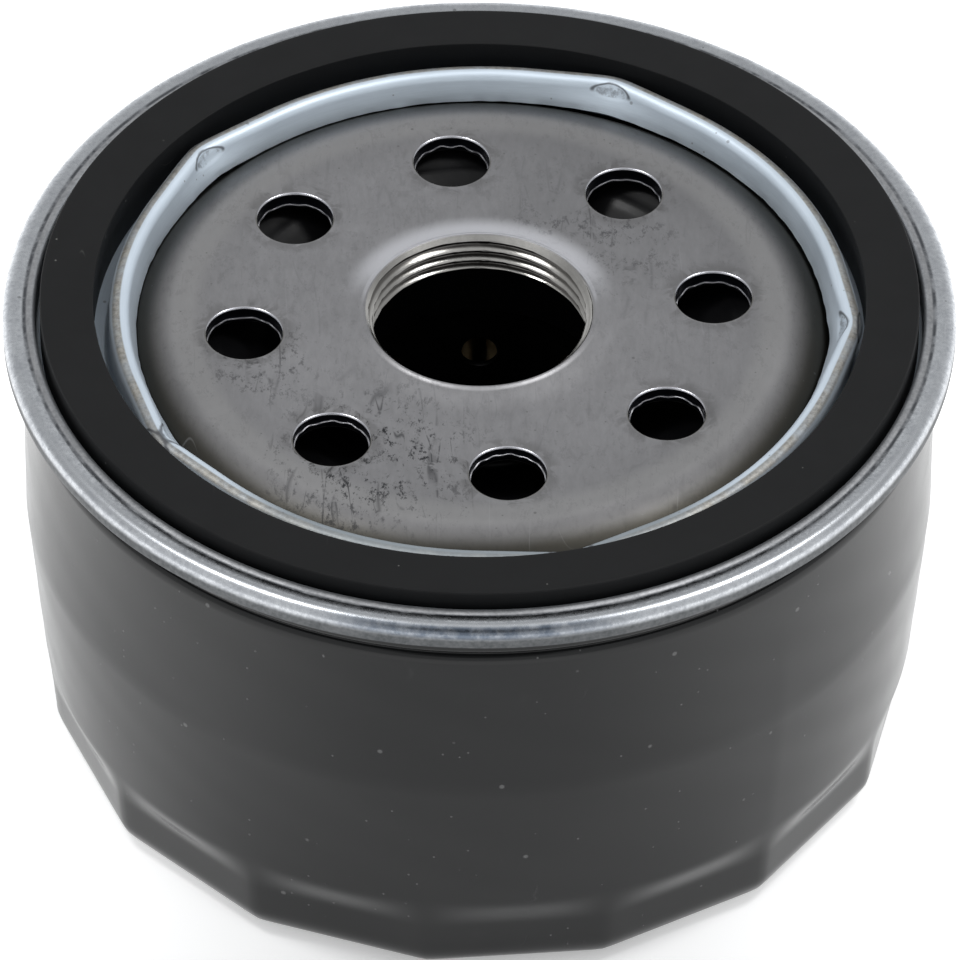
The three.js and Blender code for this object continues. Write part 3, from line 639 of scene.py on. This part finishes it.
def can():
    """Drawn cup whose round wall steps down to fifteen wrench flats near its closed end."""
    heights = np.concatenate([np.arange(3.4, 10, 0.28), np.arange(10, 22, 0.75), np.arange(22, 35.4, 1.0)])
    heights = np.concatenate([heights, np.arange(35.45, 37.4, 0.065), [37.8, 38.4]])
    outline = rounded([[0, 0.8], [12, 0.8, 1.2], [13.5, 0, 1.2], [CAN_FOOT, 0, 3], [can_radius(3.2), 3.2]], 7)
    outline = refine(outline, 1.5, closed=False)
    outline += [[can_radius(z), z] for z in heights]
    outline += [[CAN_TOP, 39.15], [36.85, 39.15], [36.85, 39.5], [CAN_TOP - WALL, 39.5]]
    outline += [[can_radius(z) - WALL, z] for z in heights[::-1][::2]]
    inside = [[can_radius(3.2) - WALL, 3.2], [CAN_FOOT - WALL, WALL, 2.6], [13.7, WALL], [12.2, 1.25]]
    outline += refine(rounded(inside + [[0, 1.25]], 10), 1.5, closed=False)

    def shape(r, a, z):
        pitch = 360 / FLATS
        off = np.radians((a - FLAT_CORNER) % pitch - pitch / 2)
        half = math.radians(pitch / 2)
        polygon = math.cos(half) / np.cos(off)
        corner = np.clip((np.abs(off) - half + 0.03) / 0.03, 0, 1)
        polygon = polygon - 0.0016 * corner**2
        share = 1 - smoothstep(z, 5.5, 8.7)
        dents = 0.014 * ripple(a, 3, 7, 2, 11) * smoothstep(z, 9, 16) * (1 - smoothstep(z, 32, 38))
        waves = 0.010 * ripple(a + 4 * z, 5, 6, 5, 23)
        dents = dents + waves * smoothstep(z, 8, 12) * (1 - smoothstep(z, 33, 38))
        crease = np.abs((a - CREASE_AT + 180) % 360 - 180)
        dents = dents + 0.05 * np.exp(-crease / 2.4) * (1 - smoothstep(z, 24, 34)) * smoothstep(z, 7, 10)
        groove = np.clip((z - 35.5) / 1.0, 0, 1)
        groove = 0.5 * (1 - np.sqrt(1 - groove**2 * 0.985)) / 0.878 * (1 - smoothstep(z, 36.5, 37.2))
        return np.where(r > 20, r * (1 + share * (polygon - 1)) + dents - groove, r), z

    return lathe("can_cup", "can", "can_paint", PAINT, outline, 24 * FLATS, shape, FLAT_CORNER, closed=False,
                 sharp=30)


SEAM_R = 37.98


def lid():
    """Thin plated sheet: cut inner edge, lugged ridge, gasket channel, and the seam rolled over the can."""
    sheet, edge_r, edge_z = 0.4, 27.48, 38.62
    crest_r, crest_z, crest = 28.8, 40.07, 0.85
    # the inner slope runs from the cut edge to the tangent point of the crest's arc
    reach = math.hypot(crest_r - edge_r, crest_z - edge_z)
    slope = math.atan2(crest_z - edge_z, crest_r - edge_r) + math.asin(crest / reach)
    tangent = math.degrees(slope) + 90
    under_r, under_z = edge_r + sheet * math.sin(slope), edge_z - sheet * math.cos(slope)
    under = [[under_r, under_z]] + arc(crest_r, crest_z, crest - sheet, tangent, 0, 10)
    under += [[29.25, 37.0, 0.3], [35.7, 37.0, 0.2], [35.7, 40.25], [37.15, 40.25], [37.15, 38.9]]
    under += [[36.75, 38.9], [36.75, 38.66], [37.0, 38.56, 0.08], [37.7, 38.6, 0.12]]
    seam = [[37.9, 38.85], [37.97, 39.15], [SEAM_R, 39.5]] + arc(37.04, 39.85, 0.94, 2, 100, 14)
    seam += [[36.68, 40.755], [36.5, 40.725], [36.38, 40.70], [36.30, 40.685], [36.23, 40.68], [36.16, 40.69],
             [36.08, 40.715], [35.98, 40.75], [35.85, 40.79], [35.7, 40.795], [35.55, 40.76], [35.43, 40.67],
             [35.36, 40.5]]
    top = [[35.32, 39.4], [35.3, 37.4, 0.35], [29.65, 37.4, 0.35], [29.65, 39.4]]
    ridge = arc(crest_r, crest_z, crest, 0, tangent, 26)
    outline = refine(rounded(under, 15), 0.5, closed=False) + seam
    outline += refine(rounded([seam[-1]] + top, 15)[1:], 0.6, closed=False) + ridge
    outline += refine([ridge[-1], [edge_r, edge_z]], 0.13, closed=False)[1:]

    def shape(r, a, z):
        pitch = 360 / LUGS
        off = (a - LUG_AT + pitch / 2) % pitch - pitch / 2
        # each lug is a blunt corner: its flanks are tangents to the ridge, and its tip is rounded
        corner = 1 / np.cos(np.radians(np.maximum(0, LUG_HALF - np.sqrt(off**2 + 1.5**2)))) - 1
        bump = corner / (1 / math.cos(math.radians(LUG_HALF)) - 1)
        rise = smoothstep(z, 37.4, 38.9)
        lean = 0.45 + 0.55 * smoothstep(z, 38.7, 40.6)
        push = (0.84 * bump + 0.14 * np.exp(-((off / 17) ** 2))) * rise * lean
        on_ridge = r < 29.8
        # the ridge sits a little off the seam's centre
        out = np.where(on_ridge, r + push + 0.15 * np.cos(np.radians(a)) * rise, r)
        from_front = (a - 270 + 180) % 360 - 180
        dip = 0.36 * np.exp(-((from_front / 60) ** 4)) + 0.13 * np.exp(-(((from_front - 14.4) / 10) ** 2))
        dip = dip * smoothstep(z, 38.9, 40.4) * on_ridge
        # the punch that pushed each lug left a shallow print near the crest
        u, v = np.radians(off) * crest_r, z - PRINT_Z
        disc = np.sqrt((u / PRINT_HALF_WIDTH) ** 2 + (v / PRINT_HALF_HEIGHT) ** 2)
        inner = on_ridge & (z > 39.4) & (r < crest_r + 0.1)
        out = np.where(inner, out + 0.07 * (1 - smoothstep(disc, 0.75, 1.05)), out)
        # cut edge, with small tears from the shear
        tear = 0.02 * ripple(a, 11, 9, 12, 50) + 0.016 * ripple(a, 12, 9, 50, 120)
        out = np.where(r < 28.2, out + tear * (1 - smoothstep(z, 38.6, 39.1)), out)
        wave = 0.015 * ripple(a, 21, 6, 3, 14)
        out = np.where(r > 36, np.minimum(out + 0.008 * ripple(a, 22, 8, 6, 30), SEAM_R), out)
        crease = np.where((r > 36.1) & (r < 36.45) & (z > 40), 0.02 * ripple(a, 23, 9, 8, 50), 0)
        return out + crease, z - dip + np.where(r > 35.9, wave * (z > 40), 0)

    return lathe("lid_sheet", "seaming_lid", "zinc_plate", ZINC, outline, 720, shape, sharp=50)


PLATE_TOP, PLATE_UNDER, PLATE_ROLL, LEDGE_Z = 39.8, 38.2, 6.5, 38.66
LEDGE_RISE = [0.0, 0.1, 0.3, 0.34, 0.22, 0.05, 0.0, 0.12]
THREAD_PITCH, THREAD_DEPTH, THREAD_CREST = 1.0, 0.52, 8.5


def holed_cell(shell, boundary, centre, rings, place):
    """Fills between a closed boundary and a round hole.

    Each ring is ("share", part of the way to the hole, height) or ("radius", distance from its centre,
    height), and place(x, y, height) gives its points.
    """
    boundary, centre = np.array(boundary, float), np.array(centre, float)
    way = boundary - centre
    way /= np.linalg.norm(way, axis=1)[:, None]
    brink = centre + way * next(value for kind, value, _ in rings if kind == "radius")
    rows = []
    for kind, value, height in rings:
        ring = boundary + (brink - boundary) * value if kind == "share" else centre + way * value
        rows.append(place(ring[:, 0], ring[:, 1], np.full(len(ring), float(height))))
    shell.grid(np.stack(rows), closed_v=True)


def polar(r, degrees):
    return [r * math.cos(math.radians(degrees)), r * math.sin(math.radians(degrees))]


def base_plate():
    """Pressed steel disc with filleted inlet holes, a swelling round the bore and a cut internal thread."""
    around, pitch = 40, 360 / HOLES
    segments = HOLES * around
    inner, outer = 13.6, 23.4
    start = HOLE_AT - pitch / 2
    shell = Shell()

    top = [("share", t, PLATE_TOP - 0.05 * max(0, t - 0.7) / 0.3)
           for t in (0, 0.18, 0.36, 0.54, 0.7, 0.8, 0.88, 0.95)]
    fillet = 0.19
    lip = [("radius", HOLE_RADIUS + fillet * (1 - math.sin(t)), PLATE_TOP - 0.05 - fillet * (1 - math.cos(t)))
           for t in np.radians(np.linspace(0, 90, 7))]
    # the punched wall: sheared above, a small wavy ledge, and torn below
    wall = [("radius", HOLE_RADIUS + more, z) for more, z in (
        (0, 39.2), (0, LEDGE_Z + 0.06), (-0.02, LEDGE_Z + 0.015), (-0.10, LEDGE_Z), (-0.12, LEDGE_Z - 0.04),
        (-0.06, 38.5), (0.12, 38.27), (0.3, PLATE_UNDER))]
    under = [("share", t, PLATE_UNDER) for t in (0.66, 0.33, 0.0)]
    for k, rise in enumerate(LEDGE_RISE):
        middle = HOLE_AT + pitch * k
        low, high = middle - pitch / 2, middle + pitch / 2
        centre = polar(HOLE_CIRCLE, middle)
        loop = walk([(inner, low), (inner, high), (outer, high), (outer, low)], (around, 24, around, 24))

        def place(x, y, h):
            around_hole = np.degrees(np.arctan2(y - centre[1], x - centre[0]))
            torn = 0.06 * ripple(around_hole, 80 + k, 7, 2, 17) + rise
            return np.stack([x, y, h + torn * np.exp(-(((h - LEDGE_Z) / 0.2) ** 2))], -1)

        holed_cell(shell, [polar(*point) for point in loop], centre, top + lip + wall + under, place)

    # outside the holes: rolled down to the flange that the lid is welded to
    roll_r, roll_z, under_roll = 23.5, PLATE_TOP - PLATE_ROLL, PLATE_ROLL - 1.6
    end = math.degrees(math.acos((28.6 - roll_r) / PLATE_ROLL))
    under_end = math.degrees(math.acos((27.0 - roll_r) / under_roll))
    outside = [[outer, PLATE_UNDER], [roll_r, PLATE_UNDER]]
    outside += arc(roll_r, roll_z, under_roll, 90, under_end, 14)[1:]
    flange = [[27.0, 36.2], [27.0, 35.1, 0.8], [34.9, 35.1, 0.12], [34.9, 36.7, 0.25], [28.6, 36.7, 0.3]]
    outside += rounded(flange, 20) + [[28.6, 37.05]]
    outside += arc(roll_r, roll_z, PLATE_ROLL, end, 90, 26) + [[outer, PLATE_TOP]]
    shell.turned(refine(outside, 0.9, closed=False), segments, None, start, closed=False)

    # inside the holes: the swelling, the mouth, the thread and the neck's lower end
    mouth_z, mouth_r, cone_z, neck_z = 40.35, 9.06, 39.86, 36.78
    swell = [[inner, PLATE_TOP]]
    for r in np.linspace(12.9, 9.42, 18):
        swell.append([r, PLATE_TOP + 0.55 * (1 - smoothstep(r, 8.2, 12.3)) ** 1.05])
    swell += [[9.32, 40.305], [9.22, 40.345], [9.13, mouth_z]]
    shell.turned(swell, segments, None, start, closed=False)
    rows = np.linspace(mouth_z, neck_z + 0.2, 92)
    azimuth = start + np.arange(segments) * 360 / segments
    a, z = np.meshgrid(azimuth, rows, indexing="ij")
    phase = (z / THREAD_PITCH - a / 360 + 0.18) % 1.0
    flank = np.clip((0.5 - np.abs(phase - 0.5)) / 0.36, 0, 1)
    flank = smoothstep(flank, 0, 1) * 0.35 + flank * 0.65
    thread = THREAD_CREST + THREAD_DEPTH * flank
    cone = THREAD_CREST + np.maximum(0, z - cone_z) * (mouth_r + 0.07 - THREAD_CREST) / (mouth_z - cone_z)
    foot = THREAD_CREST + np.maximum(0, 37.25 - z) * 0.8
    r = np.maximum(np.maximum(thread * (z < mouth_z - 0.05), cone), foot)
    r[:, 0], r[:, -1] = 9.13, 8.86
    points = np.stack([r * np.cos(np.radians(a)), r * np.sin(np.radians(a)), z], -1)
    shell.grid(points, closed_u=True)
    neck = [[8.86, neck_z + 0.2], [8.95, neck_z + 0.06], [9.1, neck_z], [9.6, neck_z], [10.1, neck_z]]
    neck += arc(10.1, neck_z + 0.3, 0.3, -90, 0, 5)[1:] + [[10.4, 37.9]]
    neck += arc(10.7, 37.9, 0.3, 180, 90, 5)[1:] + [[r, PLATE_UNDER] for r in (11.6, 12.6, inner)]
    shell.turned(neck, segments, None, start, closed=False)

    return make("plate_pressing", shell, "base_plate", "bare_steel", STEEL, sharp=40)


def gasket():
    """Square ring, a little wavy where it was cut."""
    outline = rounded(box(30.75, 37.7, 35.0, 42.0, 0.2, 0.2, 0.16, 0.1), 10)

    def shape(r, a, z):
        wave = 0.02 * ripple(a, 31, 6, 3, 9)
        return r + wave, np.where(z > 41, np.minimum(z - 0.012 - 0.012 * ripple(a, 32, 5, 4, 16), 41.999), z)

    return lathe("gasket_ring", "sealing_gasket", "gasket_rubber", GASKET, refine(outline, 0.4), 360, shape)


def drain_valve():
    """Rubber moulding: sleeve round the neck, shoulder on the element, and a cone that closes the inlets."""
    outline = refine(rounded([
        [10.7, 30.7, 0.2], [13.2, 30.7, 0.3], [13.2, 33.3, 0.2], [16.2, 33.3, 0.3], [24.3, 36.9, 0.3],
        [24.3, 37.9, 0.3], [22.9, 37.9, 0.25], [15.4, 34.8, 0.8], [12.6, 34.8, 0.7], [12.2, 37.9, 0.2],
        [10.7, 37.9, 0.2]], 12), 0.3)

    def shape(r, a, z):
        rib = 0.12 * np.exp(-((r - 17.4) / 0.35) ** 2) + 0.10 * np.exp(-((r - 20.6) / 0.35) ** 2)
        top = (z - 33.9) > (r - 16.2) * 0.42
        return r, z + np.where(top & (r > 15.8), rib, 0)

    piece = lathe("drain_valve_moulding", "anti_drain_valve", "valve_rubber", VALVE, outline, 240, shape,
                  body="element")
    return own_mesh(piece)


def seam_compound():
    """The thin uneven ring of compound inside the seam."""
    outline = refine(rounded(box(36.05, 39.75, 36.85, 40.0, 0.08), 22), 0.25)

    def shape(r, a, z):
        sunk = 0.015 * (1 + ripple(a, 42, 8, 8, 50)) * (z > 39.9)
        return np.minimum(r + 0.02 * ripple(a, 41, 8, 8, 60), 36.86), z - sunk

    return lathe("seam_filler", "seam_compound", "seam_sealant", SEALANT, outline, 240, shape)


can()
lid()
base_plate()
gasket()
drain_valve()
seam_compound()


# ---- filter element

TUBE_R, TUBE_TOP, TUBE_BOTTOM, TUBE_HOLE = 13.2, 30.4, 8.0, 1.5
PLEATS = 40


def upper_cap():
    """Steel cap with a pressed stiffening ring and a collar round the centre tube."""
    outline = rounded([
        [13.5, 29.3, 0.1], [14.0, 29.3, 0.1], [14.0, 32.5, 0.6], [30.5, 32.5, 0.4], [30.5, 29.8, 0.1],
        [31.0, 29.8, 0.1], [31.0, 33.0, 0.9], [13.5, 33.0, 1.0]], 12)

    def shape(r, a, z):
        ring = 0.28 * smoothstep(r, 18.6, 19.6) * (1 - smoothstep(r, 25.6, 26.6))
        return r + 0.03 * ripple(a, 51, 6, 5, 30) * (z < 30.2), z - ring * (z > 32.2) * (r < 29)

    return lathe("upper_cap_pressing", "upper_end_cap", "tin_plate", TIN, refine(outline, 0.5), 240, shape)


def lower_cap():
    """Steel cap with a pressed stiffening ring and the bypass port."""
    outline = rounded([
        [6.3, 7.2, 0.1], [31.0, 7.2, 0.9], [31.0, 10.4, 0.1], [30.5, 10.4, 0.1], [30.5, 7.7, 0.4],
        [6.3, 7.7, 0.1]], 12)

    def shape(r, a, z):
        ring = 0.25 * smoothstep(r, 22.0, 22.8) * (1 - smoothstep(r, 26.4, 27.2)) * (z < 8) * (r < 29)
        return r + 0.03 * ripple(a, 52, 6, 5, 30) * (z > 10), z + ring

    return lathe("lower_cap_pressing", "lower_end_cap", "tin_plate", TIN, refine(outline, 0.5), 240, shape)


def centre_tube():
    """Perforated tube: three staggered rows of ten holes."""
    wall, height, columns, steps, edge = 0.5, 6, 10, 12, 0.09
    inner, segments = TUBE_R - wall, columns * steps
    column = 360 / columns
    shell = Shell()

    def place(x, y, h):
        return np.stack([(TUBE_R - h) * np.cos(x / TUBE_R), (TUBE_R - h) * np.sin(x / TUBE_R), y], -1)

    width = math.radians(column) * TUBE_R
    rings = [("share", t, 0.0) for t in (0, 0.3, 0.6, 0.85)]
    rings += [("radius", TUBE_HOLE + edge * (1 - math.sin(t)), edge * (1 - math.cos(t)))
              for t in np.radians((0, 30, 60, 90))]
    rings += [("radius", TUBE_HOLE, 0.42), ("radius", TUBE_HOLE + 0.06, wall)]
    rings += [("share", t, wall) for t in (0.66, 0.33, 0.0)]
    for row, z in enumerate((12.5, 18.5, 24.5)):
        for k in range(columns):
            middle = math.radians(column * (k + 0.5 + 0.5 * (row % 2))) * TUBE_R
            left, right, low, high = middle - width / 2, middle + width / 2, z - height / 2, z + height / 2
            loop = walk([(left, low), (right, low), (right, high), (left, high)], (steps, 8, steps, 8))
            holed_cell(shell, loop, [middle, z], rings, place)
    bottom = [[inner, 9.5], [inner, TUBE_BOTTOM, 0.12], [TUBE_R, TUBE_BOTTOM, 0.12], [TUBE_R, 9.5]]
    top = [[TUBE_R, 27.5], [TUBE_R, TUBE_TOP, 0.12], [inner, TUBE_TOP, 0.12], [inner, 27.5]]
    for end in (bottom, top):
        shell.turned(refine(rounded(end, 20), 0.6, closed=False), segments, closed=False)
    return make("tube_perforated", shell, "centre_tube", "dark_steel", DARK)


def smooth_loop(points, rounds):
    """Chaikin's corner cutting on a closed loop."""
    points = np.array(points, float)
    for _ in range(rounds):
        after = np.roll(points, -1, 0)
        points = np.stack([points * 0.75 + after * 0.25, points * 0.25 + after * 0.75], 1).reshape(-1, 2)
    return points


def media():
    """Pleated paper: one sheet in rounded pleats, each a little different from the next."""
    source = np.random.default_rng(61)
    pitch, half = 360 / PLEATS, 0.2
    path = []
    for i in range(PLEATS):
        lean = source.uniform(-0.5, 0.5)
        reach = source.uniform(-0.18, 0.0)
        crest = 29.5 + reach
        for r, offset, side in ((crest, 0, -0.42), (crest, 0, 0.42), (25, 1.45, 0), (20, 2.2, 0),
                                (14.72, 4.5, -0.42), (14.72, 4.5, 0.42), (20, 6.8, 0), (25, 7.55, 0)):
            a = math.radians(i * pitch + offset + lean * (1 - abs(offset - 4.5) / 4.5) * 0.4)
            path.append([r * math.cos(a) - side * math.sin(a), r * math.sin(a) + side * math.cos(a)])
    line = smooth_loop(path, 2)
    ahead = np.roll(line, -1, 0) - np.roll(line, 1, 0)
    normal = np.stack([ahead[:, 1], -ahead[:, 0]], -1)
    normal /= np.linalg.norm(normal, axis=1)[:, None]
    levels = list(enumerate(np.linspace(9.1, 31.1, 12)))
    rows = []
    # up one side of the paper and down the other
    for side, order in ((half, levels), (-half, levels[::-1])):
        for level, z in order:
            shift = 0.06 * np.sin(z * 0.9 + np.arange(len(line)) * 0.05)[:, None] * (0 < level < 11)
            rows.append(np.concatenate([line + normal * (side + shift), np.full((len(line), 1), z)], 1))
    shell = Shell()
    shell.grid(np.stack(rows).transpose(1, 0, 2), closed_u=True, closed_v=True)
    return make("media_pleats", shell, "pleated_media", "filter_paper", PAPER, sharp=60)


def media_clip():
    """Folded strip crimped over the pleat where the paper's ends meet."""
    corners = [[27.0, -1.25, 0.12], [30.4, -1.25, 0.35], [30.4, 1.25, 0.35], [27.0, 1.25, 0.12],
               [27.0, 0.95, 0.1], [30.1, 0.95, 0.2], [30.1, -0.95, 0.2], [27.0, -0.95, 0.1]]
    loop = np.array(refine(rounded(corners, 20), 0.3))
    rings = []
    for z in np.linspace(10.7, 29.5, 80):
        pinch = 0.12 * max(0.0, math.cos(math.pi * (z - 20.1) / 3.2)) ** 6
        squeeze = np.sign(loop[:, 1]) * pinch * np.clip((29.8 - loop[:, 0]) / 1.0, 0, 1)
        rings.append(np.stack([loop[:, 0], loop[:, 1] - squeeze * 0.9, np.full(len(loop), z)], -1))
    shell = Shell()
    shell.bar(rings)
    return make("media_clip", shell, "media_seam_clip", "tin_plate", TIN)


def potting(name, node, bottom, up):
    """Adhesive disc, with the shallow waves that it set with between the pleats."""
    outline = refine(rounded(box(14.3, bottom, 30.2, bottom + 0.8, 0.12), 22), 0.6)

    def shape(r, a, z):
        middle = bottom + 0.4
        free = (z > middle + 0.2) if up else (z < middle - 0.2)
        wave = 0.10 * (0.5 + 0.5 * np.cos(np.radians(PLEATS * a)))
        wave = wave * smoothstep(r, 14.5, 16) * (1 - smoothstep(r, 28.6, 30))
        wave = wave + 0.05 * (0.5 + 0.25 * ripple(a + 9 * r, 71, 6, 4, 30)) * (r > 14.6) * (r < 30)
        return r, z - (wave if up else -wave) * free

    return lathe(name, node, "adhesive", ADHESIVE, outline, 360, shape)


upper_cap()
lower_cap()
centre_tube()
media()
media_clip()
potting("potting_upper", "upper_potting", 31.4, False)
potting("potting_lower", "lower_potting", 8.0, True)


# ---- bypass valve and springs


def bypass_cage():
    """Guide ring for the rivet on three folded legs with narrow waists, joined into one solid."""
    middle = rounded([[3.2, 18.95], [9.95, 18.95, 1.1], [9.95, 8.8]], 12)
    middle = np.array(refine(middle, 0.6, closed=False))
    ahead = np.gradient(middle, axis=0)
    ahead /= np.linalg.norm(ahead, axis=1)[:, None]
    section = rounded(box(-1.5, -0.35, 1.5, 0.35, 0.1), 30)[::-1]
    guide = Shell()
    guide.turned(refine(rounded(box(1.6, 18.6, 5.2, 19.3, 0.1, 0.15, 0.2, 0.15), 20), 0.3), 96)
    shells = [guide]
    for k in range(3):
        c, s = math.cos(2 * math.pi * k / 3), math.sin(2 * math.pi * k / 3)
        rings = []
        for (r, z), (ahead_r, ahead_z) in zip(middle, ahead):
            waist = 1 - 0.16 * math.exp(-((z - 14) / 2.5) ** 2) if r > 9 else 1.0
            leg = [(r - ahead_z * t, side * waist, z + ahead_r * t) for side, t in section]
            rings.append([(x * c - y * s, x * s + y * c, z) for x, y, z in leg])
        shells.append(Shell())
        shells[-1].bar(rings)
    parts = [welded("cage_part", shell, 1e-4, outward=True) for shell in shells]
    for part in parts[1:]:
        join = parts[0].modifiers.new("join", "BOOLEAN")
        join.operation, join.object, join.solver = "UNION", part, "EXACT"
    bpy.context.view_layer.update()
    joined = bpy.data.meshes.new_from_object(parts[0].evaluated_get(bpy.context.evaluated_depsgraph_get()))
    shell = Shell()
    shell.add([v.co[:] for v in joined.vertices], [tuple(p.vertices) for p in joined.polygons])
    for part in parts:
        bpy.data.objects.remove(part)
    return make("bypass_cage_frame", shell, "bypass_cage", "dark_steel", DARK, weld=1e-4)


def coil(radius, wire, turns, bottom, top, steps_per_turn):
    """Round wire, wire in radius, wound with flat, ground end turns."""
    low, high = bottom + wire, top - wire
    steps = round(turns * steps_per_turn)
    t = np.linspace(0, 1, steps + 1)
    angle = 2 * np.pi * turns * t
    dead = 0.75 / turns
    rise = np.clip((t - dead) / (1 - 2 * dead), 0, 1)
    rise = rise * 0.85 + 0.15 * smoothstep(rise, 0, 1)
    z = low + (high - low) * rise
    line = np.stack([radius * np.cos(angle), radius * np.sin(angle), z], -1)
    ahead = np.gradient(line, axis=0)
    ahead /= np.linalg.norm(ahead, axis=1)[:, None]
    out = np.stack([np.cos(angle), np.sin(angle), np.zeros_like(angle)], -1)
    side = np.cross(ahead, out)
    section = np.radians(np.arange(16) * 22.5)
    rings = []
    for k in range(len(line)):
        end = min(k, len(line) - 1 - k)
        size = wire * (1 if end > 1 else (0.97 if end == 1 else 0.86))
        ring = line[k] + size * (np.cos(section)[:, None] * out[k] + np.sin(section)[:, None] * side[k])
        ring[:, 2] = np.clip(ring[:, 2], bottom, top)
        rings.append(ring)
    shell = Shell()
    shell.bar(rings)
    return shell


seat = [[5.0, 6.9, 0.1], [6.0, 6.9, 0.1], [6.0, 8.0, 0.15], [12.4, 8.0, 0.12], [12.4, 8.5, 0.12],
        [6.0, 8.5, 0.25], [5.8, 9.4, 0.15], [5.0, 9.4, 0.2]]
lathe("bypass_seat_ring", "bypass_seat", "dark_steel", DARK, refine(rounded(seat), 0.3), 144)
bypass_cage()
disc = refine(rounded(box(1.5, 11.0, 7.6, 11.6, 0.08, 0.12, 0.2, 0.08)), 0.3)
lathe("bypass_disc_plate", "bypass_disc", "dark_steel", DARK, disc, 120)
seal = refine(rounded(box(1.5, 9.7, 7.2, 10.7, 0.12, 0.25, 0.2, 0.12)), 0.3)
lathe("bypass_seal_ring", "bypass_seal", "valve_rubber", VALVE, seal, 120)
pin = [[0, 8.9], [2.6, 8.9, 0.2], [3.2, 9.15, 0.1], [3.2, 9.4, 0.1], [1.2, 9.4, 0.1], [1.2, 21.0, 0.4]]
pin = refine(rounded(pin + [[0, 21.0]]), 0.3, closed=False)
lathe("bypass_rivet_pin", "bypass_rivet", "spring_steel", PIN, pin, 64, closed=False)
small = make("bypass_coil", coil(3.6, 0.35, 4.5, 11.9, 18.3, 48), "bypass_spring", "spring_steel", WIRE)
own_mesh(small)
large = make("element_coil", coil(17.5, 0.65, 2.75, 0.75, 6.1, 72), "element_spring", "spring_steel", WIRE)
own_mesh(large)
cup = [[14.5, 6.4, 0.1], [18.45, 6.4, 0.3], [18.45, 4.9, 0.1], [18.95, 4.9, 0.1], [18.95, 6.9, 0.5],
       [14.5, 6.9, 0.12]]
lathe("spring_seat_cup", "spring_seat", "tin_plate", TIN, refine(rounded(cup), 0.3), 180)


# ---- floor, light and camera

floor_mesh = bpy.data.meshes.new("floor")
floor_mesh.from_pydata([(-4, -4, 0), (4, -4, 0), (4, 4, 0), (-4, 4, 0)], [], [(0, 1, 2, 3)])
floor = bpy.data.objects.new("floor", floor_mesh)
bpy.context.scene.collection.objects.link(floor)
ground = Nodes("floor_paper")
# the white paper glows a little, and less so just in front of the object, where a painted shadow lies
shade = ground.near(0, -66, 14, 62)
ground.set(Base_Color=ground.mix(ground.noise(4, 2), (0.86, 0.86, 0.86), (0.90, 0.90, 0.90)), Roughness=0.9)
ground.set(Emission_Color=(1.0, 1.0, 1.0), Emission_Strength=ground.ramp(shade, (0.0, 0.56), (1.0, 0.16)))
floor_mesh.materials.append(ground.material)

# greys of the light tent, from the horizon behind the object (0) over the top (0.5) to the one in front (1)
TENT = [(0.0, 1.1), (0.11, 0.95), (0.2, 0.68), (0.25, 0.58), (0.35, 0.50), (0.43, 0.55), (0.52, 0.70),
        (0.64, 0.80), (1.0, 0.85)]
TO_PHOTOGRAPHER = (0.0, -0.739, 0.674)
world = bpy.data.worlds.new("studio")
world.use_nodes = True
sky = Tree(world.node_tree)
direction = sky.new("ShaderNodeTexCoord").outputs["Generated"]
_, sky_y, sky_z = sky.parts(direction)
tilt = sky.math("DIVIDE", sky.math("ARCTAN2", sky_z, sky_y), math.pi)
tent = sky.ramp(tilt, *[(at, (0.97 * grey, 0.985 * grey, grey)) for at, grey in TENT])
# the photographer stands dark against the tent
toward = sky.vector("DOT_PRODUCT", direction, TO_PHOTOGRAPHER).outputs["Value"]
background = sky.tree.nodes["Background"]
sky.put(background.inputs["Color"], tent)
sky.put(background.inputs["Strength"], sky.between(toward, 0.93, 0.985, 1.0, 0.2))
bpy.context.scene.world = world
bpy.context.scene.view_settings.view_transform = "Standard"


def softbox(name, azimuth, elevation, distance, width, height, energy):
    light = bpy.data.lights.new(name, "AREA")
    light.shape = "RECTANGLE"
    light.size, light.size_y, light.energy = width, height, energy
    lamp = bpy.data.objects.new(name, light)
    a, e = math.radians(azimuth), math.radians(elevation)
    way = Vector((math.cos(a) * math.cos(e), math.sin(a) * math.cos(e), math.sin(e)))
    lamp.location = Vector((0, 0, 0.03)) + way * distance
    lamp.rotation_mode = "QUATERNION"
    lamp.rotation_quaternion = way.to_track_quat("Z", "Y")
    bpy.context.scene.collection.objects.link(lamp)


softbox("softbox_right", 3, 64, 1.1, 0.26, 0.26, 3.6)
softbox("softbox_left", 181, 66, 1.1, 0.24, 0.24, 3.0)

# a long lens a metre away, looking down at the front
ELEVATION, ROLL = math.radians(42.377), math.radians(0.370)
SIDE_STEP, DROP, DISTANCE = 0.0000467, 0.013187, 0.97899
forward = Vector((0, math.cos(ELEVATION), -math.sin(ELEVATION)))
level_up = Vector((0, math.sin(ELEVATION), math.cos(ELEVATION)))
right = math.cos(ROLL) * Vector((1, 0, 0)) + math.sin(ROLL) * level_up
up = -math.sin(ROLL) * Vector((1, 0, 0)) + math.cos(ROLL) * level_up
camera_data = bpy.data.cameras.new("camera")
camera_data.lens, camera_data.sensor_width = 460.8, 36
camera_data.clip_start, camera_data.clip_end = 0.05, 50
camera = bpy.data.objects.new("camera", camera_data)
place = Vector((0, 0, PLATE_TOP * MM)) + SIDE_STEP * right - DROP * up - DISTANCE * forward
camera.matrix_world = Matrix.Translation(place) @ Matrix((right, up, -forward)).transposed().to_4x4()
bpy.context.scene.collection.objects.link(camera)
bpy.context.scene.camera = camera
